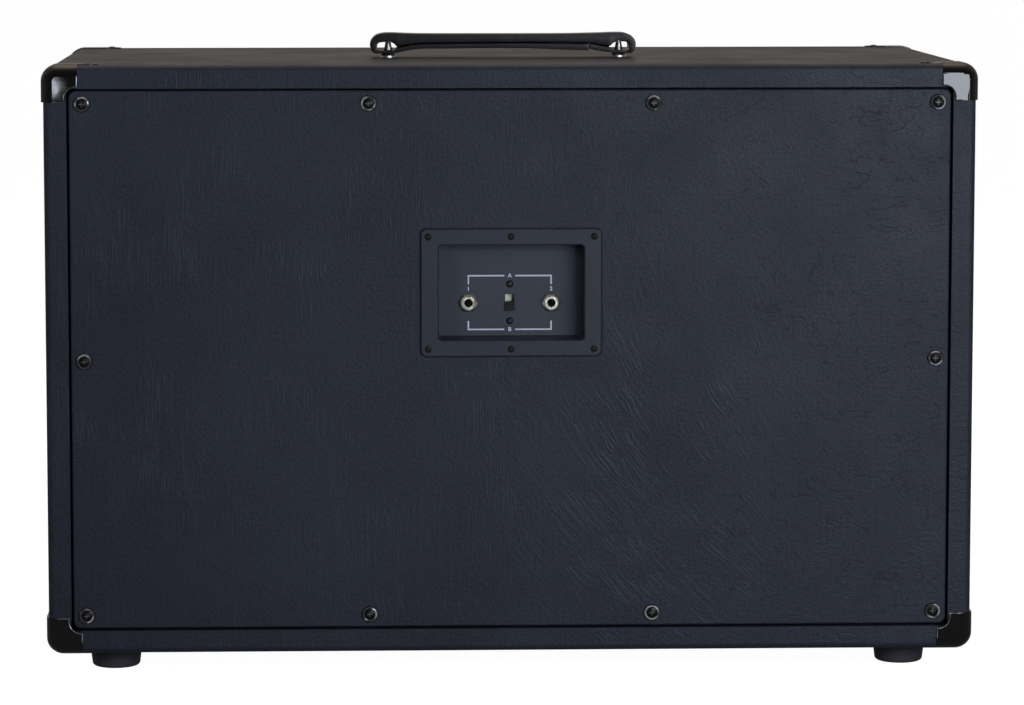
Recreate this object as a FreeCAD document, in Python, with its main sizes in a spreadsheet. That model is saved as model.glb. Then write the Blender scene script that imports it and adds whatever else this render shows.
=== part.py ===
import FreeCAD, Part
import math
import operator
import os
from types import SimpleNamespace

import Sketcher
from FreeCAD import Placement, Rotation, Vector

# A closed-back guitar speaker cabinet for two twelve-inch loudspeakers, in millimetres.
# +Z is up and the feet stand on z = 0. The back panel faces -Y and the grille faces +Y.
# X = 0 and Y = 0 are the middle of the cabinet; left is -X, as seen from behind.

# Driving sizes
SIZES = {
    # Carcass: overall sizes are over the covering
    "cab_width": 708,
    "cab_depth": 345,
    "cab_height": 450,
    "ply": 16,
    "rabbet": 8,
    "cover": 0.8,
    "long_edge_round": 11,
    "rim_round": 5,
    # Cut tools reach this far past what they cut; glued or driven pieces keep this play
    "overrun": 5,
    "fit_play": 0.1,
    # Back panel
    "panel_ply": 15,
    "panel_recess": 2,
    "panel_gap": 1.5,
    "panel_corner_round": 6,
    "panel_edge_round": 1.5,
    "panel_screw_inset": 10.1,
    "cleat": 20,
    # Baffle and grille
    "baffle_ply": 18,
    "grille_recess": 5,
    "grille_gap": 1.5,
    "grille_frame_ply": 12,
    "grille_bar": 22,
    "cloth": 1,
    # Loudspeakers: as large as the room between the battens, with radii set in from the frame's edge
    "speaker_gap": 15,
    "speaker_side_room": 0.7,
    "speaker_end_room": 33.7,
    "baffle_hole_inset": 15.5,
    "frame_sheet": 2,
    "gasket_thick": 4,
    "gasket_width": 9,
    "basket_mouth_inset": 17.5,
    "basket_depth": 68,
    "spider_seat_radius": 74,
    "spider_seat_width": 12,
    "spider_well": 18,
    "basket_window": 84,
    "basket_window_margin": 8,
    "coil_radius": 23,
    "coil_wall": 0.8,
    "coil_length": 46,
    "coil_air_gap": 1,
    "cone_inset": 26.5,
    "cone_depth": 52,
    "cone_wall": 1.4,
    "surround_wall": 1.2,
    "surround_roll": 2.4,
    "surround_lip": 6,
    "spider_wall": 0.8,
    "spider_roll": 2,
    "dust_cap_radius": 40,
    "dust_cap_rise": 12,
    "magnet_radius": 70,
    "magnet_bore": 34,
    "magnet_thick": 18,
    "plate_radius": 60,
    "plate_thick": 8,
    "terminal_wide": 24,
    "terminal_thick": 6,
    "bolt_inset": 5.5,
    "bolt_radius": 2.5,
    "bolt_head_radius": 4.6,
    "bolt_head_height": 3,
    "tee_nut_radius": 7.5,
    "tee_nut_plate": 1.4,
    "tee_nut_barrel": 3.4,
    # Jack plate, a moulded dish set into the back panel
    "plate_rise": 51.5,
    "flange_width": 137.5,
    "flange_height": 97.3,
    "flange_thick": 2.2,
    "flange_round": 4.5,
    "flange_edge_round": 1,
    "dish_width": 111.7,
    "dish_height": 73.2,
    "dish_depth": 25,
    "dish_wall": 2.5,
    "dish_draft": 3,
    "dish_round": 3,
    "dish_play": 1,
    "plate_screw_across": 126.4,
    "plate_screw_down": 86,
    "plate_screw_radius": 1.5,
    "plate_screw_head": 2.9,
    "plate_screw_rise": 1.2,
    "plate_screw_length": 13,
    # Jacks
    "jack_spacing": 63.5,
    "jack_drop": 9.9,
    "jack_bore_radius": 3.25,
    "jack_bush_radius": 4.76,
    "jack_bush_reach": 4.4,
    "jack_nut_flats": 12.7,
    "jack_nut_thick": 2.6,
    "jack_nut_face_radius": 5.9,
    "jack_nut_base_radius": 10.4,
    "jack_body_wide": 17,
    "jack_body_tall": 21,
    "jack_body_deep": 26,
    "jack_end_wall": 3,
    "jack_lug_thick": 0.8,
    "jack_lug_wide": 4,
    "jack_lug_length": 6,
    # Slide switch
    "window_wide": 7.1,
    "window_tall": 12.6,
    "switch_travel": 5.5,
    "slider_play": 0.15,
    "slider_proud": 2.4,
    "slider_foot_thick": 2.5,
    "slider_foot_ledge": 1.2,
    "switch_plate_tall": 35.5,
    "switch_plate_thick": 1,
    "switch_can_wide": 13,
    "switch_can_tall": 20,
    "switch_can_deep": 9,
    "switch_well_deep": 5,
    "switch_screw_spacing": 28.575,
    "switch_screw_radius": 1.4,
    "switch_screw_head": 2.9,
    "switch_screw_rise": 1.4,
    # Back panel screws in cup washers
    "panel_screw_radius": 2.1,
    "panel_screw_head": 3.9,
    "panel_screw_sink": 1.6,
    "panel_screw_rise": 0.8,
    "panel_screw_length": 30,
    "cup_radius": 6.2,
    "cup_rise": 2.4,
    "cup_mouth": 4.9,
    "cup_bulge": 2,
    "cup_rim": 0.6,
    # Strap handle
    "strap_length": 211.3,
    "strap_wide": 26,
    "strap_top": 19.4,
    "grip_thick": 11.3,
    "post_spacing": 182.6,
    "post_from_back": 142,
    "loop_sole": 2,
    "loop_eye_tall": 7.4,
    "loop_eye_long": 15.2,
    "loop_rise_long": 26,
    "strap_edge_round": 0.9,
    "ferrule_radius": 6.1,
    "ferrule_tall": 3.7,
    "ferrule_brim": 1.2,
    "post_foot_radius": 3.4,
    "post_tip_radius": 2.1,
    "post_tall": 7,
    "post_crown": 0.8,
    "handle_bolt_radius": 2.4,
    "handle_nut_radius": 9,
    "handle_nut_plate": 1.6,
    "handle_nut_barrel": 3.6,
    # Feet
    "foot_height": 17,
    "foot_radius": 20.3,
    "foot_tread_radius": 18.6,
    "foot_round": 3,
    "foot_from_side": 49.1,
    "foot_from_end": 45,
    "foot_well_radius": 6.5,
    "foot_well": 9,
    "foot_screw_radius": 2.2,
    "foot_screw_head": 4.6,
    "foot_screw_rise": 2.6,
    "foot_screw_bite": 12,
    # Corner protectors
    "guard_thick": 1.8,
    "guard_rim_round": 9,
    "guard_back_wide": 26,
    "guard_back_tall": 27.8,
    "guard_side_deep": 28,
    "guard_panel_gap": 2.9,
    "guard_tab_radius": 7.5,
    "guard_tab_thick": 0.8,
    "guard_screw_along": 34,
    "guard_screw_across": 14,
    "guard_screw_radius": 1.5,
    "guard_screw_head": 3.4,
    "guard_screw_rise": 1,
    "guard_screw_length": 12,
    # Internal leads
    "lead_radius": 2.4,
}

PANEL_SCREW_COLUMNS = 4
SPEAKER_BOLTS = 8
SURROUND_ROLLS = 2
SPIDER_ROLLS = 4
HEX_SIDES = 6
SIDES = {"left": -1, "right": 1}
NEARNESS = 1e-4

# A lead's bends, as shares of its way across, along and down from the jack to the loudspeaker
LEAD_SHARES = ((0, 0.42, 0), (0.12, 1, 1))

# Cross recess of a screw, as shares of the head's radius
RECESS_SPAN_SHARE = 1.1
RECESS_SLOT_SHARE = 0.24
RECESS_DEPTH_SHARE = 0.33

doc = FreeCAD.newDocument("guitar_speaker_cabinet")
sheet = doc.addObject("Spreadsheet::Sheet", "Sizes")
for row, (alias, number) in enumerate(SIZES.items(), start=1):
    sheet.set(f"A{row}", alias)
    sheet.set(f"B{row}", str(number))
    sheet.setAlias(f"B{row}", alias)
doc.recompute()

OPERATIONS = {"+": operator.add, "-": operator.sub, "*": operator.mul, "/": operator.truediv}


class Size:
    """A length from the sheet, or worked out from several: its expression and its value now."""

    def __init__(self, text, value):
        self.text = text
        self.value = value

    def combine(self, sign, other, swapped=False):
        if not isinstance(other, Size):
            other = Size(str(other), other)
        first, second = (other, self) if swapped else (self, other)
        value = OPERATIONS[sign](first.value, second.value)
        return Size(f"({first.text} {sign} {second.text})", value)

    def __add__(self, other):
        return self.combine("+", other)

    def __radd__(self, other):
        return self.combine("+", other, swapped=True)

    def __sub__(self, other):
        return self.combine("-", other)

    def __rsub__(self, other):
        return self.combine("-", other, swapped=True)

    def __mul__(self, other):
        return self.combine("*", other)

    def __rmul__(self, other):
        return self.combine("*", other, swapped=True)

    def __truediv__(self, other):
        return self.combine("/", other)

    def __neg__(self):
        return 0 - self


def least(first, second):
    return Size(f"min({first.text}; {second.text})", min(first.value, second.value))


size = SimpleNamespace(**{alias: Size(f"Sizes.{alias}", sheet.get(alias)) for alias in SIZES})


def value_of(length):
    return length.value if isinstance(length, Size) else length


def bind(item, name, length):
    """Ties one property of an object to the sheet; a plain zero stays as it is."""
    if isinstance(length, Size):
        item.setExpression(name, length.text)


# Ways to turn something made along +Z
ALONG = {
    "+Z": Rotation(),
    "-Z": Rotation(Vector(1, 0, 0), 180),
    "+Y": Rotation(Vector(1, 0, 0), -90),
    "-Y": Rotation(Vector(1, 0, 0), 90),
    "+X": Rotation(Vector(0, 1, 0), 90),
    "-X": Rotation(Vector(0, 1, 0), -90),
}


def place(item, spot, turn="+Z"):
    item.Placement = Placement(Vector(), ALONG[turn])
    for axis, length in zip("xyz", spot):
        bind(item, f"Placement.Base.{axis}", length)
    return item


def box(name, low, high):
    item = doc.addObject("Part::Box", name)
    for side, start, end in zip(("Length", "Width", "Height"), low, high):
        bind(item, side, end - start)
    return place(item, low)


def rod(name, radius, start, length, turn="+Z"):
    item = doc.addObject("Part::Cylinder", name)
    bind(item, "Radius", radius)
    bind(item, "Height", length)
    return place(item, start, turn)


def group(name, members):
    item = doc.addObject("Part::Compound", name)
    item.Links = members
    return item


def cut(name, base, *tools):
    item = doc.addObject("Part::Cut", name)
    item.Base = base
    item.Tool = tools[0] if len(tools) == 1 else group(f"{name}_tools", list(tools))
    return item


def fuse(name, *members):
    item = doc.addObject("Part::MultiFuse", name)
    item.Shapes = list(members)
    return item


def common(name, base, tool):
    item = doc.addObject("Part::Common", name)
    item.Base = base
    item.Tool = tool
    return item


def copy(name, source, spot, turn="+Z"):
    item = doc.addObject("App::Link", name)
    item.LinkedObject = source
    return place(item, spot, turn)


def mirrored(name, source, normal, height=0):
    """A mirror image in a plane through the origin, or through a height on the Z axis."""
    item = doc.addObject("Part::Mirroring", name)
    item.Source = source
    item.Normal = normal
    bind(item, "Base.z", height)
    return item


def hold_point(sketch, part, end, x, y):
    """Ties a sketch point to its place, on an axis where a coordinate is zero."""
    for kind, axis, length in (("DistanceX", -2, x), ("DistanceY", -1, y)):
        if isinstance(length, Size):
            number = sketch.addConstraint(Sketcher.Constraint(kind, -1, 1, part, end, length.value))
            sketch.setExpression(f"Constraints[{number}]", length.text)
        else:
            sketch.addConstraint(Sketcher.Constraint("PointOnObject", part, end, axis))


def arc_between(start, end, radius, side):
    """A minor arc that bulges to the left (side 1) or right (side -1) of the way from start to end."""
    chord = end - start
    middle = (start + end) / 2
    across = Vector(-chord.y, chord.x, 0).normalize()
    offset = math.sqrt(max(radius ** 2 - (chord.Length / 2) ** 2, 0))
    bulge = radius - offset
    return Part.ArcOfCircle(start, middle + across * side * bulge, end)


def draw_outline(sketch, corners):
    """A closed outline. A corner is (x, y), or (x, y, radius, side) where an arc leads to it."""
    spots = [Vector(value_of(corner[0]), value_of(corner[1]), 0) for corner in corners]
    count = len(corners)
    first = sketch.GeometryCount
    ends = []
    for index in range(count):
        target = (index + 1) % count
        corner = corners[target]
        if len(corner) == 2:
            sketch.addGeometry(Part.LineSegment(spots[index], spots[target]))
            ends.append((1, 2))
        else:
            radius, side = corner[2], corner[3]
            sketch.addGeometry(arc_between(spots[index], spots[target], radius.value, side))
            ends.append((1, 2) if side < 0 else (2, 1))
    for index in range(count):
        following = (index + 1) % count
        leave, arrive = ends[index][1], ends[following][0]
        sketch.addConstraint(
            Sketcher.Constraint("Coincident", first + index, leave, first + following, arrive)
        )
    for index, corner in enumerate(corners):
        hold_point(sketch, first + index, ends[index][0], corner[0], corner[1])
    for index in range(count):
        corner = corners[(index + 1) % count]
        if len(corner) == 4:
            constraint = Sketcher.Constraint("Radius", first + index, corner[2].value)
            number = sketch.addConstraint(constraint)
            sketch.setExpression(f"Constraints[{number}]", corner[2].text)


def new_sketch(body, name, outlines, plane="XZ_Plane", lift=0):
    sketch = body.newObject("Sketcher::SketchObject", name)
    support = next(item for item in body.Origin.OriginFeatures if item.Role == plane)
    sketch.AttachmentSupport = [(support, "")]
    sketch.MapMode = "FlatFace"
    bind(sketch, "AttachmentOffset.Base.z", lift)
    for corners in outlines:
        draw_outline(sketch, corners)
    return sketch


def rectangle(width, height):
    return [
        (-width / 2, -height / 2),
        (width / 2, -height / 2),
        (width / 2, height / 2),
        (-width / 2, height / 2),
    ]


def padded(body, sketch, length, symmetric=False, backwards=False, taper=None):
    pad = body.newObject("PartDesign::Pad", f"{sketch.Name}_pad")
    pad.Profile = sketch
    bind(pad, "Length", length)
    if symmetric:
        pad.SideType = "Symmetric"
    pad.Reversed = backwards
    if taper:
        bind(pad, "TaperAngle", taper)
    doc.recompute()
    return pad


def pocketed(body, sketch, length, symmetric=False, backwards=False, taper=None):
    pocket = body.newObject("PartDesign::Pocket", f"{sketch.Name}_pocket")
    pocket.Profile = sketch
    bind(pocket, "Length", length)
    if symmetric:
        pocket.SideType = "Symmetric"
    pocket.Reversed = backwards
    if taper:
        bind(pocket, "TaperAngle", taper)
    doc.recompute()
    return pocket


def rounded(body, feature, radius, chosen):
    """Rounds the edges of a feature that the test picks."""
    fillet = body.newObject("PartDesign::Fillet", f"{feature.Name}_round")
    edges = feature.Shape.Edges
    fillet.Base = (feature, [f"Edge{number}" for number, edge in enumerate(edges, 1) if chosen(edge)])
    bind(fillet, "Radius", radius)
    doc.recompute()
    return fillet


def runs_along_y(edge):
    return abs(edge.tangentAt(edge.FirstParameter).y) > math.cos(math.radians(2 * size.dish_draft.value))


def at_depth(*depths):
    """Picks the edges that lie flat at one of the depths given."""
    wanted = [value_of(depth) for depth in depths]

    def chosen(edge):
        points = [vertex.Point.y for vertex in edge.Vertexes] + [edge.CenterOfMass.y]
        return any(all(abs(point - depth) < NEARNESS for point in points) for depth in wanted)
    return chosen


def turned(name, outline, spot=(0, 0, 0), turn="+Z"):
    """A body of revolution. The outline is (radius, height); its axis then takes the turn given."""
    body = doc.addObject("PartDesign::Body", name)
    sketch = new_sketch(body, f"{name}_outline", [outline])
    revolution = body.newObject("PartDesign::Revolution", f"{name}_revolution")
    revolution.Profile = sketch
    revolution.ReferenceAxis = (sketch, ["V_Axis"])
    revolution.Angle = 360
    doc.recompute()
    return place(body, spot, turn)


def lobe(reach, rise):
    """Radius of an arc that rises by the rise given over half a chord of the reach given."""
    return (reach * reach + rise * rise) / (2 * rise)


def screw(name, head, rise, radius, length, seat=0, sink=0):
    """A cross-recess screw along +Z. Its head's rim is at the seat, and its cone below it is sunk."""
    body = turned(f"{name}_blank", [
        (0, -length),
        (radius, -length),
        (radius, seat - sink),
        (head, seat),
        (0, seat + rise, lobe(head, rise), -1),
    ])
    span = RECESS_SPAN_SHARE * head / 2
    slot = RECESS_SLOT_SHARE * head / 2
    bottom = seat + rise - RECESS_DEPTH_SHARE * head
    top = seat + rise + size.overrun
    slots = fuse(
        f"{name}_recess",
        box(f"{name}_slot_across", (-span, -slot, bottom), (span, slot, top)),
        box(f"{name}_slot_along", (-slot, -span, bottom), (slot, span, top)),
    )
    return cut(f"{name}_pattern", body, slots)


def tee_nut(name, radius, plate, barrel, reach, bore):
    """A tee nut: its barrel stands along +Z on a plate below zero."""
    return turned(name, [
        (bore, -plate),
        (radius, -plate),
        (radius, 0),
        (barrel, 0),
        (barrel, reach),
        (bore, reach),
    ])


# Places and sizes that several pieces share
floor_z = size.foot_height
mid_z = size.foot_height + size.cab_height / 2
top_z = size.foot_height + size.cab_height
back_y = -size.cab_depth / 2
front_y = size.cab_depth / 2
wood_width = size.cab_width - 2 * size.cover
wood_depth = size.cab_depth - 2 * size.cover
wood_height = size.cab_height - 2 * size.cover
inner_width = wood_width - 2 * size.ply
inner_height = wood_height - 2 * size.ply
inner_top = mid_z + inner_height / 2
inner_floor = mid_z - inner_height / 2
open_width = inner_width - 2 * size.cover
open_height = inner_height - 2 * size.cover
panel_width = open_width - 2 * size.panel_gap
panel_height = open_height - 2 * size.panel_gap
panel_face_y = back_y + size.panel_recess
panel_wood_y = panel_face_y + size.cover
panel_back_y = panel_wood_y + size.panel_ply
baffle_front_y = front_y - size.grille_recess - size.cloth - size.grille_frame_ply
baffle_back_y = baffle_front_y - size.baffle_ply
speaker_far_x = inner_width / 2 - size.cleat - size.speaker_side_room
speaker_x = (speaker_far_x + size.speaker_gap / 2) / 2
frame_radius = least(speaker_far_x - speaker_x, inner_height / 2 - size.cleat - size.speaker_end_room)
baffle_hole_radius = frame_radius - size.baffle_hole_inset
basket_mouth_radius = frame_radius - size.basket_mouth_inset
cone_radius = frame_radius - size.cone_inset
bolt_circle = frame_radius - size.bolt_inset
handle_y = back_y + size.post_from_back
plate_z = mid_z + size.plate_rise
jack_z = plate_z - size.jack_drop
dish_floor_y = panel_face_y - size.flange_thick + size.dish_depth
dish_back_y = dish_floor_y + size.dish_wall

post_spots = [(sign * size.post_spacing / 2, handle_y) for sign in SIDES.values()]
foot_spots = {
    f"{end}_{side}": (
        sign * (size.cab_width / 2 - size.foot_from_side),
        way * (size.cab_depth / 2 - size.foot_from_end),
    )
    for end, way in (("rear", -1), ("front", 1))
    for side, sign in SIDES.items()
}

screw_rows = panel_height - 2 * size.panel_screw_inset
screw_columns = panel_width - 2 * size.panel_screw_inset
panel_screw_spots = [
    (screw_columns * (column / (PANEL_SCREW_COLUMNS - 1)) - screw_columns / 2, mid_z + way * screw_rows / 2)
    for way in (-1, 1)
    for column in range(PANEL_SCREW_COLUMNS)
]
panel_screw_spots += [(sign * screw_columns / 2, mid_z) for sign in SIDES.values()]

plate_screw_spots = [
    (column * size.plate_screw_across / 2, plate_z + way * size.plate_screw_down / 2)
    for way in (-1, 1)
    for column in (-1, 0, 1)
]
jack_spots = {side: sign * size.jack_spacing / 2 for side, sign in SIDES.items()}
switch_screw_spots = [(0, jack_z + way * size.switch_screw_spacing / 2) for way in (-1, 1)]

# A protector's screws sit on the tabs of its side leaf and of its top or bottom leaf
guard_screw_spots = []
for sign in SIDES.values():
    for way in (-1, 1):
        for rise, end_z, turn in ((-1, floor_z, "-Z"), (1, top_z, "+Z")):
            side_x = sign * (size.cab_width / 2 + size.guard_tab_thick)
            side_y = way * (size.cab_depth / 2 - size.guard_screw_along)
            side_z = end_z - rise * size.guard_screw_across
            leaf_x = sign * (size.cab_width / 2 - size.guard_screw_along)
            leaf_y = way * (size.cab_depth / 2 - size.guard_screw_across)
            side_turn = "+X" if sign > 0 else "-X"
            guard_screw_spots.append(((side_x, side_y, side_z), side_turn))
            guard_screw_spots.append(((leaf_x, leaf_y, end_z + rise * size.guard_tab_thick), turn))


def centred_box(name, width, height, start, end, middle=mid_z):
    return box(name, (-width / 2, start, middle - height / 2), (width / 2, end, middle + height / 2))


def rounded_block(name, width, depth, height, long_round, rim_round):
    """A block round the middle of the cabinet with its long edges and both its rims rounded."""
    body = doc.addObject("PartDesign::Body", name)
    outline = new_sketch(body, f"{name}_outline", [rectangle(width, height)])
    block = padded(body, outline, depth, symmetric=True)
    sides = rounded(body, block, long_round, runs_along_y)
    rounded(body, sides, rim_round, at_depth(-depth / 2, depth / 2))
    return place(body, (0, 0, mid_z))


def inward(turn):
    return {"+X": "-X", "-X": "+X", "+Z": "-Z", "-Z": "+Z", "+Y": "-Y", "-Y": "+Y"}[turn]


def make_shell_holes(name, post_radius, foot_radius):
    """Holes for the protectors' screws, the handle's bolts and the foot screws."""
    holes = []
    for number, (spot, turn) in enumerate(guard_screw_spots):
        radius = size.guard_screw_radius + size.fit_play
        depth = size.guard_screw_length + size.fit_play
        holes.append(rod(f"{name}_guard_{number}", radius, spot, depth, inward(turn)))
    for number, (x, y) in enumerate(post_spots):
        drop = size.ply + size.cover + size.overrun
        holes.append(rod(f"{name}_post_{number}", post_radius, (x, y, top_z + size.overrun),
                         drop + size.overrun, "-Z"))
    for number, (x, y) in enumerate(foot_spots.values()):
        depth = size.cover + size.foot_screw_bite + size.fit_play
        holes.append(rod(f"{name}_foot_{number}", foot_radius, (x, y, floor_z), depth))
    return group(name, holes)


def make_carcass():
    """Four panels of one rounded tube, parted where the sides lap into the top and bottom."""
    block = rounded_block("carcass_block", wood_width, wood_depth, wood_height,
                          size.long_edge_round - size.cover, size.rim_round - size.cover)
    reach = size.cab_depth / 2 + size.overrun
    hollow = centred_box("carcass_hollow", inner_width, inner_height, -reach, reach)
    tube = cut("carcass_tube", block, hollow)
    holes = make_shell_holes("carcass_holes", size.handle_nut_barrel + size.fit_play,
                             size.foot_screw_radius + size.fit_play)
    drilled = cut("carcass_drilled", tube, holes)
    outside = size.cab_width / 2 + size.overrun
    inside = inner_width / 2
    lap_top = inner_top + size.rabbet
    lap_floor = inner_floor - size.rabbet
    above = top_z + size.overrun
    below = floor_z - size.overrun
    top_zone = fuse(
        "top_zone",
        box("top_zone_inner", (-inside, -reach, inner_top), (inside, reach, above)),
        box("top_zone_outer", (-outside, -reach, lap_top), (outside, reach, above)),
    )
    bottom_zone = fuse(
        "bottom_zone",
        box("bottom_zone_inner", (-inside, -reach, below), (inside, reach, inner_floor)),
        box("bottom_zone_outer", (-outside, -reach, below), (outside, reach, lap_floor)),
    )
    common("top_panel", drilled, top_zone)
    common("bottom_panel", drilled, bottom_zone)
    left_zone = box("left_zone", (-outside, -reach, lap_floor), (-inside, reach, lap_top))
    right_zone = box("right_zone", (inside, -reach, lap_floor), (outside, reach, lap_top))
    common("left_side_panel", drilled, left_zone)
    common("right_side_panel", drilled, right_zone)
    return block


def make_shell_covering(carcass_block):
    """The vinyl: a skin over the carcass that turns in at both openings."""
    block = rounded_block("skin_block", size.cab_width, size.cab_depth, size.cab_height,
                          size.long_edge_round, size.rim_round)
    skin = cut("skin_closed", block, carcass_block)
    reach = size.cab_depth / 2 + size.overrun
    opening = centred_box("skin_opening", open_width, open_height, -reach, reach)
    rims = cut("skin_open", skin, opening)
    turns = []
    for name, start, end in (("rear", back_y + size.cover, panel_back_y),
                             ("front", baffle_front_y, front_y - size.cover)):
        turns.append(cut(
            f"{name}_turn_in",
            centred_box(f"{name}_turn_in_outer", inner_width, inner_height, start, end),
            centred_box(f"{name}_turn_in_inner", open_width, open_height,
                        start - size.overrun, end + size.overrun),
        ))
    holes = make_shell_holes("covering_holes", size.handle_bolt_radius + size.fit_play,
                             size.foot_screw_radius + size.fit_play)
    cut("shell_covering", fuse("skin_whole", rims, *turns), holes)
    return block


def panel_block(name, width, height, face_y, corner_round, edge_round):
    """A board with round corners whose outer face is at the depth given."""
    body = doc.addObject("PartDesign::Body", name)
    outline = new_sketch(body, f"{name}_outline", [rectangle(width, height)])
    board = padded(body, outline, panel_back_y - face_y, backwards=True)
    corners = rounded(body, board, corner_round, runs_along_y)
    rounded(body, corners, edge_round, at_depth(0))
    return place(body, (0, face_y, mid_z))


def make_panel_holes(name):
    holes = [centred_box(
        f"{name}_dish", size.dish_width + 2 * (size.dish_wall + size.dish_play),
        size.dish_height + 2 * (size.dish_wall + size.dish_play),
        panel_face_y - size.overrun, panel_back_y + size.overrun, plate_z,
    )]
    for number, (x, z) in enumerate(panel_screw_spots):
        radius = size.panel_screw_radius + size.fit_play
        holes.append(rod(f"{name}_screw_{number}", radius, (x, panel_face_y - size.overrun, z),
                         size.overrun + size.panel_screw_length + size.fit_play, "+Y"))
    for number, (x, z) in enumerate(plate_screw_spots):
        radius = size.plate_screw_radius + size.fit_play
        start = panel_face_y - size.flange_thick
        holes.append(rod(f"{name}_plate_{number}", radius, (x, start, z),
                         size.plate_screw_length + size.fit_play, "+Y"))
    return group(name, holes)


def make_back_panel():
    wood = panel_block("panel_wood", panel_width - 2 * size.cover, panel_height - 2 * size.cover,
                       panel_wood_y, size.panel_corner_round - size.cover,
                       size.panel_edge_round - size.cover)
    skin = panel_block("panel_skin", panel_width, panel_height, panel_face_y,
                       size.panel_corner_round, size.panel_edge_round)
    cut("back_panel", wood, make_panel_holes("panel_holes"))
    cut("back_panel_covering", cut("panel_skin_hollow", skin, wood), make_panel_holes("panel_skin_holes"))


def battens(name, start, end):
    """Four battens round the inside of the carcass."""
    half = inner_width / 2
    inside = half - size.cleat
    low = inner_floor + size.cleat
    high = inner_top - size.cleat
    return [
        box(f"{name}_top", (-half, start, high), (half, end, inner_top)),
        box(f"{name}_bottom", (-half, start, inner_floor), (half, end, low)),
        box(f"{name}_left", (-half, start, low), (-inside, end, high)),
        box(f"{name}_right", (inside, start, low), (half, end, high)),
    ]


def make_cleats():
    rear = battens("back_batten", panel_back_y, panel_back_y + size.cleat)
    cut("back_cleats", group("back_battens", rear), make_panel_holes("cleat_holes"))
    group("baffle_cleats", battens("baffle_batten", baffle_back_y - size.cleat, baffle_back_y))


def speaker_bolt_spots(sign):
    """Places of one loudspeaker's bolts, evenly round its axis, half a step off the vertical."""
    step = 360 / SPEAKER_BOLTS
    for number in range(SPEAKER_BOLTS):
        angle = math.radians(step * (number + 1 / 2))
        x = sign * speaker_x + bolt_circle * math.cos(angle)
        yield x, mid_z + bolt_circle * math.sin(angle)


def bolt_holes(name, radius, start, length, signs):
    spots = [spot for sign in signs for spot in speaker_bolt_spots(sign)]
    return [rod(f"{name}_{number}", radius, (x, start, z), length, "+Y")
            for number, (x, z) in enumerate(spots)]


def make_baffle():
    board = centred_box("baffle_blank", inner_width - 2 * size.fit_play, inner_height - 2 * size.fit_play,
                        baffle_back_y, baffle_front_y)
    start = baffle_back_y - size.overrun
    length = size.baffle_ply + 2 * size.overrun
    holes = [rod(f"{side}_baffle_hole", baffle_hole_radius,
                 (sign * speaker_x, start, mid_z), length, "+Y")
             for side, sign in SIDES.items()]
    holes += bolt_holes("baffle_bolt_hole", size.tee_nut_barrel + size.fit_play, start, length,
                        SIDES.values())
    cut("baffle_board", board, *holes)


def make_grille():
    width = open_width - 2 * (size.grille_gap + size.cloth)
    height = open_height - 2 * (size.grille_gap + size.cloth)
    face = baffle_front_y + size.grille_frame_ply
    blank = centred_box("grille_blank", width, height, baffle_front_y, face)
    windows = []
    for side, sign in SIDES.items():
        near = sign * size.grille_bar / 2
        far = sign * (width / 2 - size.grille_bar)
        left, right = (near, far) if sign > 0 else (far, near)
        tall = height / 2 - size.grille_bar
        windows.append(box(f"{side}_grille_window",
                           (left, baffle_front_y - size.overrun, mid_z - tall),
                           (right, face + size.overrun, mid_z + tall)))
    cut("grille_frame", blank, *windows)
    cloth = centred_box("cloth_blank", width + 2 * size.cloth, height + 2 * size.cloth,
                        baffle_front_y, face + size.cloth)
    cut("grille_cloth", cloth, blank)


def corrugated(start, end, level, wall, roll, count):
    """The upper side of a rolled skirt from one radius to another, and its lower side back."""
    step = (end - start) / count
    radius = lobe(step / 2, roll)
    upper = [(start, level + wall)]
    lower = [(end, level)]
    for number in range(1, count + 1):
        side = -1 if number % 2 else 1
        upper.append((start + step * number, level + wall, radius, side))
        back = -1 if (count - number) % 2 else 1
        lower.append((end - step * number, level, radius, back))
    return upper, lower


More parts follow.
